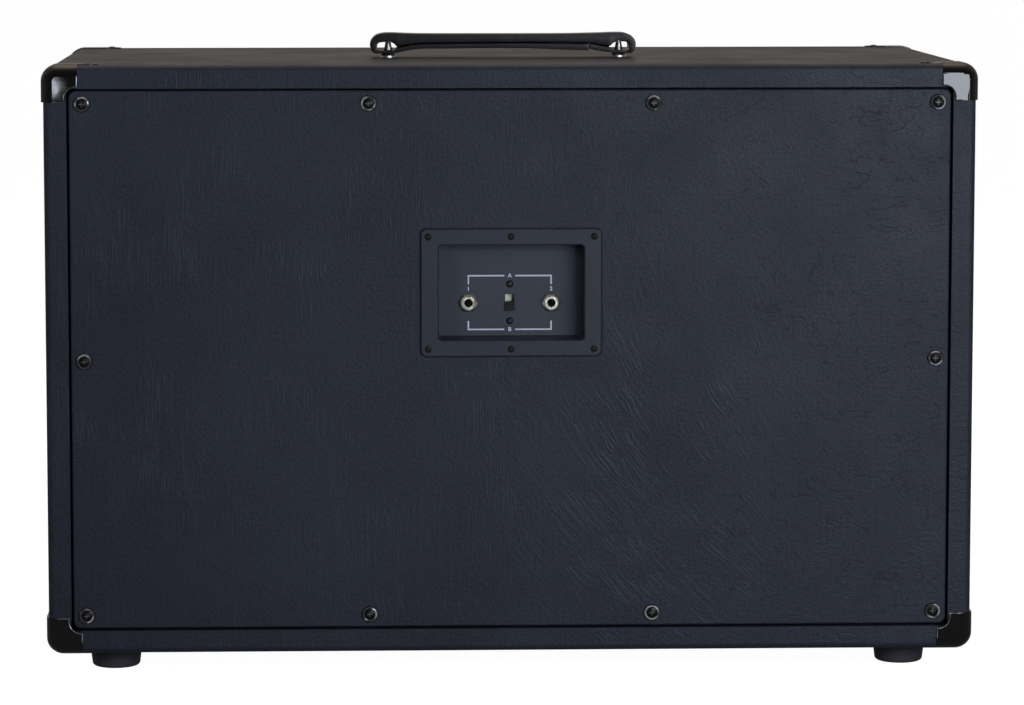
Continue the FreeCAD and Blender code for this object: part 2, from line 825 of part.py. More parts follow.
def make_speaker(side, sign):
    """One loudspeaker. Its axis runs along +Y from the baffle's rear face, so heights are negative."""
    x = sign * speaker_x
    spot = (x, baffle_back_y, mid_z)

    def ring(name, outline):
        return turned(f"{side}_{name}", outline, spot, "+Y")

    flange = -size.gasket_thick
    seat = flange - size.basket_depth
    well = seat - size.spider_well
    well_radius = size.spider_seat_radius - size.spider_seat_width
    sheet_metal = size.frame_sheet
    bore = size.coil_radius + size.coil_air_gap
    holes = bolt_holes(f"{side}_frame_hole", size.bolt_radius + size.fit_play,
                       baffle_back_y + flange - 2 * sheet_metal, size.gasket_thick + 2 * sheet_metal, [sign])
    gasket_inner = frame_radius - size.gasket_width
    gasket_blank = ring("gasket_blank", [
        (gasket_inner, flange),
        (frame_radius, flange),
        (frame_radius, 0),
        (gasket_inner, 0),
    ])
    frame_holes = group(f"{side}_frame_holes", holes)
    cut(f"{side}_gasket", gasket_blank, frame_holes)
    basket = ring("basket_blank", [
        (basket_mouth_radius, flange),
        (size.spider_seat_radius, seat),
        (well_radius, seat),
        (well_radius, well),
        (bore, well),
        (bore, well - sheet_metal),
        (well_radius + sheet_metal, well - sheet_metal),
        (well_radius + sheet_metal, seat - sheet_metal),
        (size.spider_seat_radius + sheet_metal, seat - sheet_metal),
        (basket_mouth_radius + sheet_metal, flange - sheet_metal),
        (frame_radius, flange - sheet_metal),
        (frame_radius, flange),
    ])
    drilled = cut(f"{side}_basket_drilled", basket, frame_holes)
    low = baffle_back_y + seat + size.basket_window_margin
    high = baffle_back_y + flange - size.basket_window_margin
    near = size.spider_seat_radius
    far = basket_mouth_radius + size.overrun
    half = size.basket_window / 2
    windows = [
        box(f"{side}_window_left", (x - far, low, mid_z - half), (x - near, high, mid_z + half)),
        box(f"{side}_window_right", (x + near, low, mid_z - half), (x + far, high, mid_z + half)),
        box(f"{side}_window_low", (x - half, low, mid_z - far), (x + half, high, mid_z - near)),
        box(f"{side}_window_high", (x - half, low, mid_z + near), (x + half, high, mid_z + far)),
    ]
    cut(f"{side}_basket", drilled, *windows)

    plate = well - sheet_metal
    magnet = plate - size.plate_thick
    yoke = magnet - size.magnet_thick
    pole = size.coil_radius - size.coil_wall - size.coil_air_gap
    ring("top_plate", [
        (bore, magnet), (size.plate_radius, magnet), (size.plate_radius, plate), (bore, plate),
    ])
    ring("magnet", [
        (size.magnet_bore, yoke), (size.magnet_radius, yoke),
        (size.magnet_radius, magnet), (size.magnet_bore, magnet),
    ])
    ring("yoke", [
        (0, yoke - size.plate_thick),
        (size.plate_radius, yoke - size.plate_thick),
        (size.plate_radius, yoke),
        (pole, yoke),
        (pole, plate),
        (0, plate),
    ])

    coil_inner = size.coil_radius - size.coil_wall
    ring("voice_coil", [
        (coil_inner, magnet),
        (size.coil_radius, magnet),
        (size.coil_radius, magnet + size.coil_length),
        (coil_inner, magnet + size.coil_length),
    ])
    neck = size.coil_radius + size.fit_play
    neck_level = flange - size.cone_depth
    rim = cone_radius - size.surround_lip
    ring("cone", [
        (neck, neck_level),
        (rim, flange),
        (cone_radius, flange),
        (cone_radius, flange - size.cone_wall),
        (rim + size.cone_wall, flange - size.cone_wall),
        (neck, neck_level - 2 * size.cone_wall),
    ])
    cap = size.dust_cap_radius
    cap_level = neck_level + (cap - neck) * (size.cone_depth / (rim - neck)) + size.fit_play
    cap_inner = cap - size.cone_wall
    ring("dust_cap", [
        (cap_inner, cap_level, lobe(cap_inner, size.dust_cap_rise - size.cone_wall), 1),
        (cap, cap_level),
        (0, cap_level + size.dust_cap_rise, lobe(cap, size.dust_cap_rise), -1),
        (0, cap_level + size.dust_cap_rise - size.cone_wall),
    ])
    lip_end = gasket_inner - size.fit_play
    upper, lower = corrugated(cone_radius, lip_end - size.surround_lip, flange,
                              size.surround_wall, size.surround_roll, SURROUND_ROLLS)
    ring("surround", [
        (rim, flange),
        (rim, flange + size.surround_wall),
        *upper,
        (lip_end, flange + size.surround_wall),
        (lip_end, flange),
        *lower,
    ])
    spider_end = size.spider_seat_radius - size.fit_play
    upper, lower = corrugated(neck + size.surround_lip, well_radius, seat, size.spider_wall,
                              size.spider_roll, SPIDER_ROLLS)
    ring("spider", [
        (neck, seat),
        (neck, seat + size.spider_wall),
        *upper,
        (spider_end, seat + size.spider_wall),
        (spider_end, seat),
        *lower,
    ])
    # The terminal strip stands on the rear of the spider's ledge, towards the middle of the cabinet
    inner_edge = x - sign * (well_radius + sheet_metal + size.fit_play)
    outer_edge = x - sign * (size.spider_seat_radius + sheet_metal)
    left, right = (outer_edge, inner_edge) if sign > 0 else (inner_edge, outer_edge)
    back = baffle_back_y + seat - sheet_metal
    box(f"{side}_terminal_strip",
        (left, back - size.terminal_thick, mid_z - size.terminal_wide / 2),
        (right, back, mid_z + size.terminal_wide / 2))
    return outer_edge, back - size.terminal_thick / 2


def make_speaker_fasteners():
    stack = size.frame_sheet + size.gasket_thick + size.baffle_ply
    bolt = screw("speaker_bolt", size.bolt_head_radius, size.bolt_head_height, size.bolt_radius, stack)
    nut = tee_nut("speaker_tee_nut", size.tee_nut_radius, size.tee_nut_plate, size.tee_nut_barrel,
                  size.baffle_ply / 2, size.bolt_radius + size.fit_play)
    head_y = baffle_back_y - size.gasket_thick - size.frame_sheet
    spots = [spot for sign in SIDES.values() for spot in speaker_bolt_spots(sign)]
    group("speaker_bolts", [copy(f"speaker_bolt_{number}", bolt, (x, head_y, z), "-Y")
                            for number, (x, z) in enumerate(spots)])
    group("speaker_tee_nuts", [copy(f"speaker_tee_nut_{number}", nut, (x, baffle_front_y, z), "-Y")
                               for number, (x, z) in enumerate(spots)])


def make_jack_plate():
    """A moulded dish: flange on the panel, tapered walls, flat floor with its holes."""
    body = doc.addObject("PartDesign::Body", "jack_plate_blank")
    flange_outline = new_sketch(body, "flange_outline", [rectangle(size.flange_width, size.flange_height)])
    flange = padded(body, flange_outline, size.flange_thick)
    rounded(body, flange, size.flange_round, runs_along_y)
    dish_outline = new_sketch(body, "dish_outline", [rectangle(
        size.dish_width + 2 * size.dish_wall, size.dish_height + 2 * size.dish_wall)])
    dish = padded(body, dish_outline, size.dish_depth - size.flange_thick + size.dish_wall,
                  backwards=True, taper=-size.dish_draft)
    rounded(body, dish, size.dish_round + size.dish_wall,
            lambda edge: runs_along_y(edge) and edge.CenterOfMass.y > NEARNESS)
    hollow_outline = new_sketch(body, "hollow_outline", [rectangle(size.dish_width, size.dish_height)],
                                lift=size.flange_thick)
    hollow = pocketed(body, hollow_outline, size.dish_depth, taper=-size.dish_draft)
    half = size.dish_width.value / 2 + NEARNESS
    inner = rounded(body, hollow, size.dish_round,
                    lambda edge: runs_along_y(edge) and abs(edge.CenterOfMass.x) < half)
    rounded(body, inner, size.flange_edge_round, at_depth(-size.flange_thick))
    place(body, (0, panel_face_y, plate_z))

    start = panel_face_y - size.flange_thick - size.overrun
    through = size.overrun + size.dish_depth + size.dish_wall + size.overrun
    holes = [rod(f"{side}_jack_hole", size.jack_bush_radius + size.fit_play,
                 (x, start, jack_z), through, "+Y")
             for side, x in jack_spots.items()]
    holes += [rod(f"switch_screw_hole_{number}", size.switch_screw_radius + size.fit_play,
                  (x, start, z), through, "+Y")
              for number, (x, z) in enumerate(switch_screw_spots)]
    holes += [rod(f"plate_screw_hole_{number}", size.plate_screw_radius + size.fit_play,
                  (x, start, z), size.overrun + size.flange_thick + size.overrun, "+Y")
              for number, (x, z) in enumerate(plate_screw_spots)]
    holes.append(centred_box("switch_window", size.window_wide, size.window_tall, start,
                             dish_back_y + size.overrun, jack_z))
    cut("jack_plate", body, *holes)
    pattern = screw("plate_screw", size.plate_screw_head, size.plate_screw_rise,
                    size.plate_screw_radius, size.plate_screw_length)
    seat_y = panel_face_y - size.flange_thick
    group("jack_plate_screws", [copy(f"plate_screw_{number}", pattern, (x, seat_y, z), "-Y")
                                for number, (x, z) in enumerate(plate_screw_spots)])


def make_jack(side, x):
    """A quarter-inch socket: threaded bush through the dish's floor, moulded body and lugs behind it."""
    mouth_y = dish_floor_y - size.jack_bush_reach
    end_y = dish_back_y + size.jack_body_deep
    wide = size.jack_body_wide / 2
    tall = size.jack_body_tall / 2
    bush = rod(f"{side}_jack_bush", size.jack_bush_radius, (x, mouth_y, jack_z),
               dish_back_y - mouth_y + size.jack_end_wall, "+Y")
    block = box(f"{side}_jack_block", (x - wide, dish_back_y, jack_z - tall),
                (x + wide, end_y, jack_z + tall))
    lugs = [
        box(f"{side}_jack_lug_{number}",
            (x - size.jack_lug_wide / 2, end_y - size.jack_end_wall, jack_z + way * tall / 2),
            (x + size.jack_lug_wide / 2, end_y + size.jack_lug_length,
             jack_z + way * tall / 2 + size.jack_lug_thick))
        for number, way in enumerate((-1, 1))
    ]
    bore = rod(f"{side}_jack_bore", size.jack_bore_radius, (x, mouth_y - size.overrun, jack_z),
               size.overrun + end_y - mouth_y - size.jack_end_wall, "+Y")
    cut(f"{side}_jack", fuse(f"{side}_jack_whole", bush, block, *lugs), bore)


def make_jack_nuts():
    """Hex nuts with the corners of their outer face turned off."""
    prism = doc.addObject("Part::Prism", "jack_nut_blank")
    prism.Polygon = HEX_SIDES
    bind(prism, "Circumradius", size.jack_nut_flats / (2 * math.cos(math.pi / HEX_SIDES)))
    bind(prism, "Height", size.jack_nut_thick)
    chamfer = turned("jack_nut_chamfer", [
        (0, 0),
        (size.jack_nut_base_radius, 0),
        (size.jack_nut_face_radius, size.jack_nut_thick),
        (0, size.jack_nut_thick),
    ])
    bore = rod("jack_nut_bore", size.jack_bush_radius + size.fit_play, (0, 0, -size.overrun),
               size.jack_nut_thick + 2 * size.overrun, "+Z")
    pattern = cut("jack_nut", common("jack_nut_turned", prism, chamfer), bore)
    group("jack_nuts", [copy(f"{side}_jack_nut", pattern, (x, dish_floor_y, jack_z), "-Y")
                        for side, x in jack_spots.items()])


def make_switch():
    """A slide switch behind the dish's floor. The slider rests at the lower end of its window."""
    plate = centred_box("switch_ears", size.switch_can_wide, size.switch_plate_tall, dish_back_y,
                        dish_back_y + size.switch_plate_thick, jack_z)
    can = centred_box("switch_can", size.switch_can_wide, size.switch_can_tall, dish_back_y,
                      dish_back_y + size.switch_can_deep, jack_z)
    foot_wide = size.window_wide + 2 * size.slider_foot_ledge
    well = centred_box("switch_well", foot_wide, size.window_tall, dish_back_y - size.overrun,
                       dish_back_y + size.switch_well_deep, jack_z)
    holes = [rod(f"switch_ear_hole_{number}", size.switch_screw_radius + size.fit_play,
                 (x, dish_back_y - size.overrun, z), size.switch_plate_thick + 2 * size.overrun, "+Y")
             for number, (x, z) in enumerate(switch_screw_spots)]
    cut("switch_frame", fuse("switch_frame_blank", plate, can), well, *holes)

    play = size.slider_play
    low = jack_z - size.window_tall / 2 + play
    high = jack_z + size.window_tall / 2 - play - size.switch_travel
    stem = size.window_wide / 2 - play
    foot = foot_wide / 2 - play
    foot_y = dish_back_y + play
    fuse(
        "switch_slider",
        box("slider_stem", (-stem, dish_floor_y - size.slider_proud, low), (stem, foot_y, high)),
        box("slider_foot", (-foot, foot_y, low), (foot, foot_y + size.slider_foot_thick, high)),
    )
    length = size.dish_wall + 2 * size.switch_plate_thick
    pattern = screw("switch_screw", size.switch_screw_head, size.switch_screw_rise,
                    size.switch_screw_radius, length)
    group("switch_screws", [copy(f"switch_screw_{number}", pattern, (x, dish_floor_y, z), "-Y")
                            for number, (x, z) in enumerate(switch_screw_spots)])


def make_panel_fasteners():
    """Oval-head screws, each sunk in a cup washer whose cone reaches past the head to a rolled crest."""
    play = 2 * size.fit_play
    bore = size.panel_screw_radius + play
    slope = size.panel_screw_sink / (size.panel_screw_head - size.panel_screw_radius)
    seat = size.cup_rise - slope * (size.cup_mouth - size.panel_screw_head - play)
    pattern = screw("panel_screw", size.panel_screw_head, size.panel_screw_rise, size.panel_screw_radius,
                    size.panel_screw_length, seat=seat, sink=size.panel_screw_sink)
    washer = turned("cup_washer", [
        (bore, 0),
        (size.cup_radius, 0),
        (size.cup_radius, size.cup_rim),
        (size.cup_mouth, size.cup_rise, size.cup_bulge, -1),
        (bore, seat - size.panel_screw_sink),
    ])
    spots = list(enumerate(panel_screw_spots))
    group("back_panel_screws", [copy(f"panel_screw_{number}", pattern, (x, panel_face_y, z), "-Y")
                                for number, (x, z) in spots])
    group("back_panel_cup_washers", [copy(f"cup_washer_{number}", washer, (x, panel_face_y, z), "-Y")
                                     for number, (x, z) in spots])


def strap_outline():
    """Side view of the strap: a flat grip whose lower edge sweeps down into a round loop at each end."""
    end = size.strap_length / 2
    top = size.strap_top
    sole = size.ferrule_tall
    grip = top - size.grip_thick
    half = (top - sole) / 2
    shoulder = end - half
    drop = grip - sole
    foot = size.post_spacing / 2 - size.loop_eye_long / 2
    start = foot - size.loop_rise_long
    middle = (foot + start) / 2
    sweep = (size.loop_rise_long * size.loop_rise_long + drop * drop) / (4 * drop)
    waist = (grip + sole) / 2
    return [
        (-start, grip, sweep, 1),
        (start, grip),
        (middle, waist, sweep, 1),
        (foot, sole, sweep, -1),
        (shoulder, sole),
        (end, sole + half, half, -1),
        (shoulder, top, half, -1),
        (-shoulder, top),
        (-end, sole + half, half, -1),
        (-shoulder, sole, half, -1),
        (-foot, sole),
        (-middle, waist, sweep, -1),
    ]


def eye_outline(centre):
    """The see-through slot of one loop."""
    low = size.ferrule_tall + size.loop_sole
    round_end = size.loop_eye_tall / 2
    high = low + size.loop_eye_tall
    left = centre - size.loop_eye_long / 2
    right = centre + size.loop_eye_long / 2
    return [
        (left + round_end, low, round_end, -1),
        (right - round_end, low),
        (right, low + round_end, round_end, -1),
        (right - round_end, high, round_end, -1),
        (left + round_end, high),
        (left, low + round_end, round_end, -1),
    ]


def make_handle():
    body = doc.addObject("PartDesign::Body", "strap_blank")
    eyes = [eye_outline(sign * size.post_spacing / 2) for sign in SIDES.values()]
    outline = new_sketch(body, "strap_outline", [strap_outline(), *eyes])
    strap = padded(body, outline, size.strap_wide, symmetric=True)
    rounded(body, strap, size.strap_edge_round, at_depth(-size.strap_wide / 2, size.strap_wide / 2))
    place(body, (0, handle_y, top_z))
    sole_z = top_z + size.ferrule_tall + size.loop_sole
    holes = [rod(f"strap_hole_{number}", size.handle_bolt_radius + size.fit_play,
                 (x, y, top_z), size.ferrule_tall + size.loop_sole + size.loop_eye_tall / 2)
             for number, (x, y) in enumerate(post_spots)]
    cut("handle_strap", body, *holes)

    tip = size.post_tall - size.post_crown
    shank = size.loop_sole + size.ferrule_tall + size.cover + size.ply + size.handle_nut_plate
    post = turned("handle_post", [
        (0, -shank),
        (size.handle_bolt_radius, -shank),
        (size.handle_bolt_radius, 0),
        (size.post_foot_radius, 0),
        (size.post_tip_radius, tip),
        (0, size.post_tall, lobe(size.post_tip_radius, size.post_crown), -1),
    ])
    bore = size.handle_bolt_radius + size.fit_play
    ferrule = turned("handle_ferrule", [
        (bore, 0),
        (size.ferrule_radius, 0),
        (size.ferrule_radius, size.ferrule_brim),
        (size.post_foot_radius, size.ferrule_tall, size.ferrule_tall, -1),
        (bore, size.ferrule_tall),
    ])
    nut = tee_nut("handle_tee_nut", size.handle_nut_radius, size.handle_nut_plate, size.handle_nut_barrel,
                  size.ply / 2, bore)
    spots = list(enumerate(post_spots))
    group("handle_bolts", [copy(f"handle_bolt_{number}", post, (x, y, sole_z)) for number, (x, y) in spots])
    group("handle_ferrules", [copy(f"ferrule_{number}", ferrule, (x, y, top_z)) for number, (x, y) in spots])
    group("handle_tee_nuts", [copy(f"handle_nut_{number}", nut, (x, y, inner_top))
                              for number, (x, y) in spots])


def make_feet():
    hole = size.foot_screw_radius + size.fit_play
    for name, (x, y) in foot_spots.items():
        turned(f"{name}_foot", [
            (hole, size.foot_height),
            (size.foot_radius, size.foot_height),
            (size.foot_tread_radius, size.foot_round),
            (size.foot_tread_radius - size.foot_round, 0, size.foot_round, 1),
            (size.foot_well_radius, 0),
            (size.foot_well_radius, size.foot_well),
            (hole, size.foot_well),
        ], (x, y, 0))
    length = size.foot_height - size.foot_well + size.cover + size.foot_screw_bite
    pattern = screw("foot_screw", size.foot_screw_head, size.foot_screw_rise, size.foot_screw_radius, length)
    group("foot_screws", [copy(f"foot_screw_{number}", pattern, (x, y, size.foot_well), "-Z")
                          for number, (x, y) in enumerate(foot_spots.values())])


def make_corner_protectors(skin_block):
    """Sheet caps that follow the covering: one rear corner, and its mirror images."""
    thick = size.guard_thick
    tab = size.guard_tab_thick
    block = rounded_block("guard_block", size.cab_width + 2 * thick, size.cab_depth + 2 * thick,
                          size.cab_height + 2 * tab, size.long_edge_round + thick, size.guard_rim_round)
    thin_block = rounded_block("guard_tab_block", size.cab_width + 2 * tab, size.cab_depth + 2 * tab,
                               size.cab_height + 2 * tab, size.long_edge_round + tab, size.rim_round + tab)
    corner_x = -size.cab_width / 2
    outside = thick + size.overrun
    span = outside + size.long_edge_round
    core = box("guard_core", (corner_x - outside, back_y - outside, top_z - size.guard_back_tall),
               (corner_x + size.guard_back_wide, back_y + size.guard_side_deep, top_z + outside))
    side_x = corner_x - outside
    side_tab = fuse(
        "guard_side_tab",
        rod("guard_side_tab_end", size.guard_tab_radius,
            (side_x, back_y + size.guard_screw_along, top_z - size.guard_screw_across), span, "+X"),
        box("guard_side_tab_root",
            (side_x, back_y, top_z - size.guard_screw_across - size.guard_tab_radius),
            (side_x + span, back_y + size.guard_screw_along,
             top_z - size.guard_screw_across + size.guard_tab_radius)))
    top_tab = fuse(
        "guard_top_tab",
        rod("guard_top_tab_end", size.guard_tab_radius,
            (corner_x + size.guard_screw_along, back_y + size.guard_screw_across, top_z + outside),
            span, "-Z"),
        box("guard_top_tab_root",
            (corner_x, back_y + size.guard_screw_across - size.guard_tab_radius, top_z + outside - span),
            (corner_x + size.guard_screw_along, back_y + size.guard_screw_across + size.guard_tab_radius,
             top_z + outside)))
    cap = fuse("guard_cap", common("guard_core_leaves", block, core),
               common("guard_tabs", thin_block, fuse("guard_both_tabs", side_tab, top_tab)))
    leaves = cut("guard_leaves", cap, skin_block)

    # The leaf on the back face is hollowed round the back panel's corner
    centre_x = -(panel_width / 2 - size.panel_corner_round)
    centre_z = mid_z + panel_height / 2 - size.panel_corner_round
    hollow = rod("guard_trim_round", size.panel_corner_round + size.guard_panel_gap,
                 (centre_x, back_y - outside, centre_z), outside + size.rim_round, "+Y")
    trimmed = cut("guard_trimmed", leaves, hollow)
    holes = make_shell_holes("guard_holes", size.handle_bolt_radius, size.foot_screw_radius)
    first = cut("guard_top_left", trimmed, holes)
    second = mirrored("guard_top_right", first, Vector(1, 0, 0))
    rear = [
        first,
        second,
        mirrored("guard_bottom_left", first, Vector(0, 0, 1), mid_z),
        mirrored("guard_bottom_right", second, Vector(0, 0, 1), mid_z),
    ]
    group("rear_corner_protectors", rear)
    group("front_corner_protectors", [mirrored(f"{corner.Name}_front", corner, Vector(0, 1, 0))
                                      for corner in rear])
    pattern = screw("guard_screw", size.guard_screw_head, size.guard_screw_rise,
                    size.guard_screw_radius, size.guard_screw_length)
    group("corner_screws", [copy(f"guard_screw_{number}", pattern, spot, turn)
                            for number, (spot, turn) in enumerate(guard_screw_spots)])


def tube_along(points, radius):
    """A round lead through the points: straight runs joined by arcs as large as the runs allow."""
    run_share = 0.45
    edges = []
    start = points[0]
    for before, corner, after in zip(points, points[1:], points[2:]):
        arriving = (corner - before).normalize()
        leaving = (after - corner).normalize()
        turn = arriving.getAngle(leaving)
        reach = run_share * min((corner - before).Length, (after - corner).Length)
        bend = reach / math.tan(turn / 2)
        enter = corner - arriving * reach
        leave = corner + leaving * reach
        towards = (leaving - arriving).normalize()
        crown = corner + towards * (bend / math.cos(turn / 2) - bend)
        edges.append(Part.LineSegment(start, enter).toShape())
        edges.append(Part.Arc(enter, crown, leave).toShape())
        start = leave
        print(f"lead bend radius {bend:.1f}")
    edges.append(Part.LineSegment(start, points[-1]).toShape())
    path = Part.Wire(edges)
    profile = Part.Wire(Part.Circle(points[0], points[1] - points[0], radius).toShape())
    tube = path.makePipeShell([profile], True, True)
    expected = math.pi * radius ** 2 * path.Length
    print(f"lead length {path.Length:.1f}, volume {tube.Volume:.0f}, expected {expected:.0f}")
    return tube


def make_lead(side, sign, terminal_x, terminal_y):
    """The two-core lead from a jack's lugs to its loudspeaker's terminal strip."""
    lug_y = dish_back_y + size.jack_body_deep
    start = Vector(value_of(jack_spots[side]), value_of(lug_y), value_of(jack_z))
    end = Vector(value_of(terminal_x), value_of(terminal_y), value_of(mid_z))
    span = end - start
    points = [start]
    for across_share, along_share, down_share in LEAD_SHARES:
        points.append(start + Vector(span.x * across_share, span.y * along_share, span.z * down_share))
    points.append(end)
    lead = doc.addObject("Part::Feature", f"{side}_speaker_lead")
    lead.Shape = tube_along(points, size.lead_radius.value)


NODES = [
    "top_panel", "bottom_panel", "left_side_panel", "right_side_panel", "shell_covering",
    "back_panel", "back_panel_covering", "back_cleats", "baffle_board", "baffle_cleats",
    "grille_frame", "grille_cloth", "speaker_bolts", "speaker_tee_nuts",
    "jack_plate", "jack_plate_screws", "left_jack", "right_jack", "jack_nuts",
    "switch_frame", "switch_slider", "switch_screws", "back_panel_screws", "back_panel_cup_washers",
    "handle_strap", "handle_bolts", "handle_ferrules", "handle_tee_nuts",
    *(f"{name}_foot" for name in foot_spots), "foot_screws",
    "rear_corner_protectors", "front_corner_protectors", "corner_screws",
]
SPEAKER_NODES = [
    "gasket", "basket", "top_plate", "magnet", "yoke", "voice_coil", "cone", "dust_cap",
    "surround", "spider", "terminal_strip", "speaker_lead",
]
NODES += [f"{side}_{name}" for side in SIDES for name in SPEAKER_NODES]


def build():
    carcass_block = make_carcass()
    skin_block = make_shell_covering(carcass_block)
    make_back_panel()
    make_cleats()
    make_baffle()
    make_grille()
    for side, sign in SIDES.items():
        terminal_x, terminal_y = make_speaker(side, sign)
        make_lead(side, sign, terminal_x, terminal_y)
    make_speaker_fasteners()
    make_jack_plate()
    for side, x in jack_spots.items():
        make_jack(side, x)
    make_jack_nuts()
    make_switch()
    make_panel_fasteners()
    make_handle()
    make_feet()
    make_corner_protectors(skin_block)
    doc.recompute()


def check_and_export():
    """Stops on any failed object or bad shape, then writes one file for each node."""
    failed = [item.Name for item in doc.Objects if {"Invalid", "Error"} & set(item.State)]
    if failed:
        raise RuntimeError(f"objects failed: {failed}")
    shapes = {}
    for name in NODES:
        shape = doc.getObject(name).Shape
        if shape.isNull() or not shape.isValid() or not shape.Solids:
            raise RuntimeError(f"bad shape: {name}")
        shapes[name] = shape.Solids[0] if len(shape.Solids) == 1 else shape
    os.makedirs("parts", exist_ok=True)
    for name, shape in shapes.items():
        shape.exportStep(f"parts/{name}.step")
    print(f"{len(shapes)} nodes, {sum(len(shape.Solids) for shape in shapes.values())} solids")


build()
check_and_export()
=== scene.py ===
"""Looks of a closed-back guitar speaker cabinet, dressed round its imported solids.

Lengths are metres. +Z is up, the back panel faces -Y and the grille faces +Y.
"""
import math

import bpy
from bpy.props import FloatProperty, FloatVectorProperty, IntProperty, PointerProperty
from bpy.types import NodeSocket, Operator, Panel, PropertyGroup
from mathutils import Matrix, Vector


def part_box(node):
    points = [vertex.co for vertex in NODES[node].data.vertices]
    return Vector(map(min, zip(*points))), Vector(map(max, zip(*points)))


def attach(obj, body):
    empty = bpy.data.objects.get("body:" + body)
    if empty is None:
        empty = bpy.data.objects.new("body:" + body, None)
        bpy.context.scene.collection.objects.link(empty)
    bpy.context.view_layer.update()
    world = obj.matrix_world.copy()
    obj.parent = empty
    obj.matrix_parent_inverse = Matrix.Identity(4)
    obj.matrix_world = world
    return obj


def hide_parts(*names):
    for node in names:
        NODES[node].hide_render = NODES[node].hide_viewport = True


bl_info = {
    "name": "Guitar speaker cabinet",
    "version": (1, 0, 0),
    "blender": (4, 5, 0),
    "location": "View3D > Sidebar > Cabinet",
    "description": "Dresses a cabinet for two loudspeakers: covering, handle, grille cloth and fittings",
    "category": "Object",
}

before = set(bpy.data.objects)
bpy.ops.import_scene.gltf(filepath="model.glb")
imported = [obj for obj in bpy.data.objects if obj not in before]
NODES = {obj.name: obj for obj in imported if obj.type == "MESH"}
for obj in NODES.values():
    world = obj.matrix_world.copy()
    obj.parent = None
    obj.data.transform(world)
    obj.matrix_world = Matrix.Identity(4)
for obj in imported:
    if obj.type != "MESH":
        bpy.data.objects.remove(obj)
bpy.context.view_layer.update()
MILLIMETRE = 0.001
NEARNESS = 0.01 * MILLIMETRE
WELD_DISTANCE = 0.002 * MILLIMETRE
FLAT_ANGLE = math.radians(0.5)

# Corner radii of the opening at the back and of the jack plate, and the reach of the painted shade along
# them
OPENING_ROUND = 6 * MILLIMETRE
OPENING_SHADE_REACH = 4.5 * MILLIMETRE
PLATE_ROUND = 4 * MILLIMETRE
PLATE_SHADE_REACH = 1.4 * MILLIMETRE

# How far the black paint reaches past the battens' back, and the painted light in front of the dish's floor
PAINT_DEPTH = 2 * MILLIMETRE
FILL_LIGHT_DEPTH = 6 * MILLIMETRE

WHITE = (1.0, 1.0, 1.0, 1.0)
WARM_WHITE = (1.0, 0.91, 0.81, 1.0)
# Black for the vinyl's cracks and for the painted shade round the opening's corners and the jack plate
CRACK_AND_SHADE_BLACK = (0.001, 0.001, 0.001, 1.0)
WORN_STEEL_GLINT = (0.75, 0.72, 0.70, 1.0)
BLACK_PAINT = (0.004, 0.004, 0.004, 1.0)
SPECKS = (0.12, 0.12, 0.12, 1.0)
PAINTED_FILL_LIGHT = (0.75, 0.85, 1.0, 1.0)

# Angles up to which neighbouring faces are shaded as one
PROTECTOR_SMOOTH = math.radians(35)
STRAP_SMOOTH = math.radians(40)
CLOTH_SMOOTH = math.radians(50)

# How squarely the faces at a protector's leaf look along Y
LEAF_FACING = 0.99
FLAT_FACING = 0.9999
EDGE_FACING = 0.5
FLAT_FACE_WEIGHT = 100

ROUND_SEGMENTS = 3
LIP_BORDER_SHARE = 0.25

# How much the strap thins towards its sides, how late it does, and which of its edges are rounded
STRAP_CROWN_SHARE = 0.12
STRAP_CROWN_POWER = 4
STRAP_EDGE_ANGLE = math.radians(50)

# Holes for the posts, as shares of a ferrule's radius and of the strap's height
DRILL_SIDES = 48
DRILL_RADIUS_SHARE = 0.45
DRILL_DEPTH_SHARE = 0.9

# Type size and boldness of the printed figures, as shares of their height
TYPE_SIZE_SHARE = 1.4
TYPE_BOLD_SHARE = 1 / 30

# Stations along the strap's outer face, from the end under its right half round both loops and back:
# place along the strap as a share of half its length, height over the cabinet's top as a share of the
# strap's height, and thickness as a share of the same height
STRAP_STATION_SHARES = (
    (0.633, 0.284, 0.294), (0.407, 0.325, 0.263), (0.161, 0.374, 0.224), (-0.114, 0.384, 0.209),
    (-0.388, 0.369, 0.214), (-0.623, 0.358, 0.204), (-0.746, 0.268, 0.201), (-0.790, 0.211, 0.201),
    (-0.816, 0.193, 0.124), (-0.838, 0.191, 0.103), (-0.864, 0.191, 0.103), (-0.902, 0.191, 0.103),
    (-0.933, 0.170, 0.134), (-0.964, 0.180, 0.216), (-0.989, 0.289, 0.278), (-1.000, 0.495, 0.299),
    (-0.989, 0.722, 0.309), (-0.954, 0.907, 0.340), (-0.904, 0.985, 0.366), (-0.852, 0.997, 0.376),
    (-0.818, 0.995, 0.443), (-0.797, 0.990, 0.546), (-0.780, 0.985, 0.552), (-0.746, 0.977, 0.510),
    (-0.681, 0.966, 0.448), (-0.623, 0.959, 0.397), (-0.388, 0.951, 0.366), (-0.114, 0.948, 0.356),
    (0.435, 0.948, 0.345), (0.625, 0.966, 0.397), (0.678, 0.972, 0.443), (0.729, 0.979, 0.508),
    (0.757, 0.985, 0.539), (0.782, 0.990, 0.567), (0.797, 0.992, 0.536), (0.818, 0.995, 0.433),
    (0.852, 0.997, 0.371), (0.899, 0.985, 0.361), (0.944, 0.907, 0.330), (0.977, 0.722, 0.309),
    (0.986, 0.500, 0.289), (0.975, 0.294, 0.268), (0.952, 0.180, 0.216), (0.922, 0.170, 0.134),
    (0.902, 0.191, 0.103), (0.864, 0.191, 0.103), (0.838, 0.191, 0.103), (0.816, 0.193, 0.124),
    (0.790, 0.206, 0.206), (0.753, 0.227, 0.227), (0.678, 0.296, 0.237), (0.636, 0.358, 0.222),
)


# Properties

def colour_property(name, description, red, green, blue):
    return FloatVectorProperty(name=name, description=description, subtype="COLOR", size=4,
                               default=(red, green, blue, 1.0), min=0, max=1)


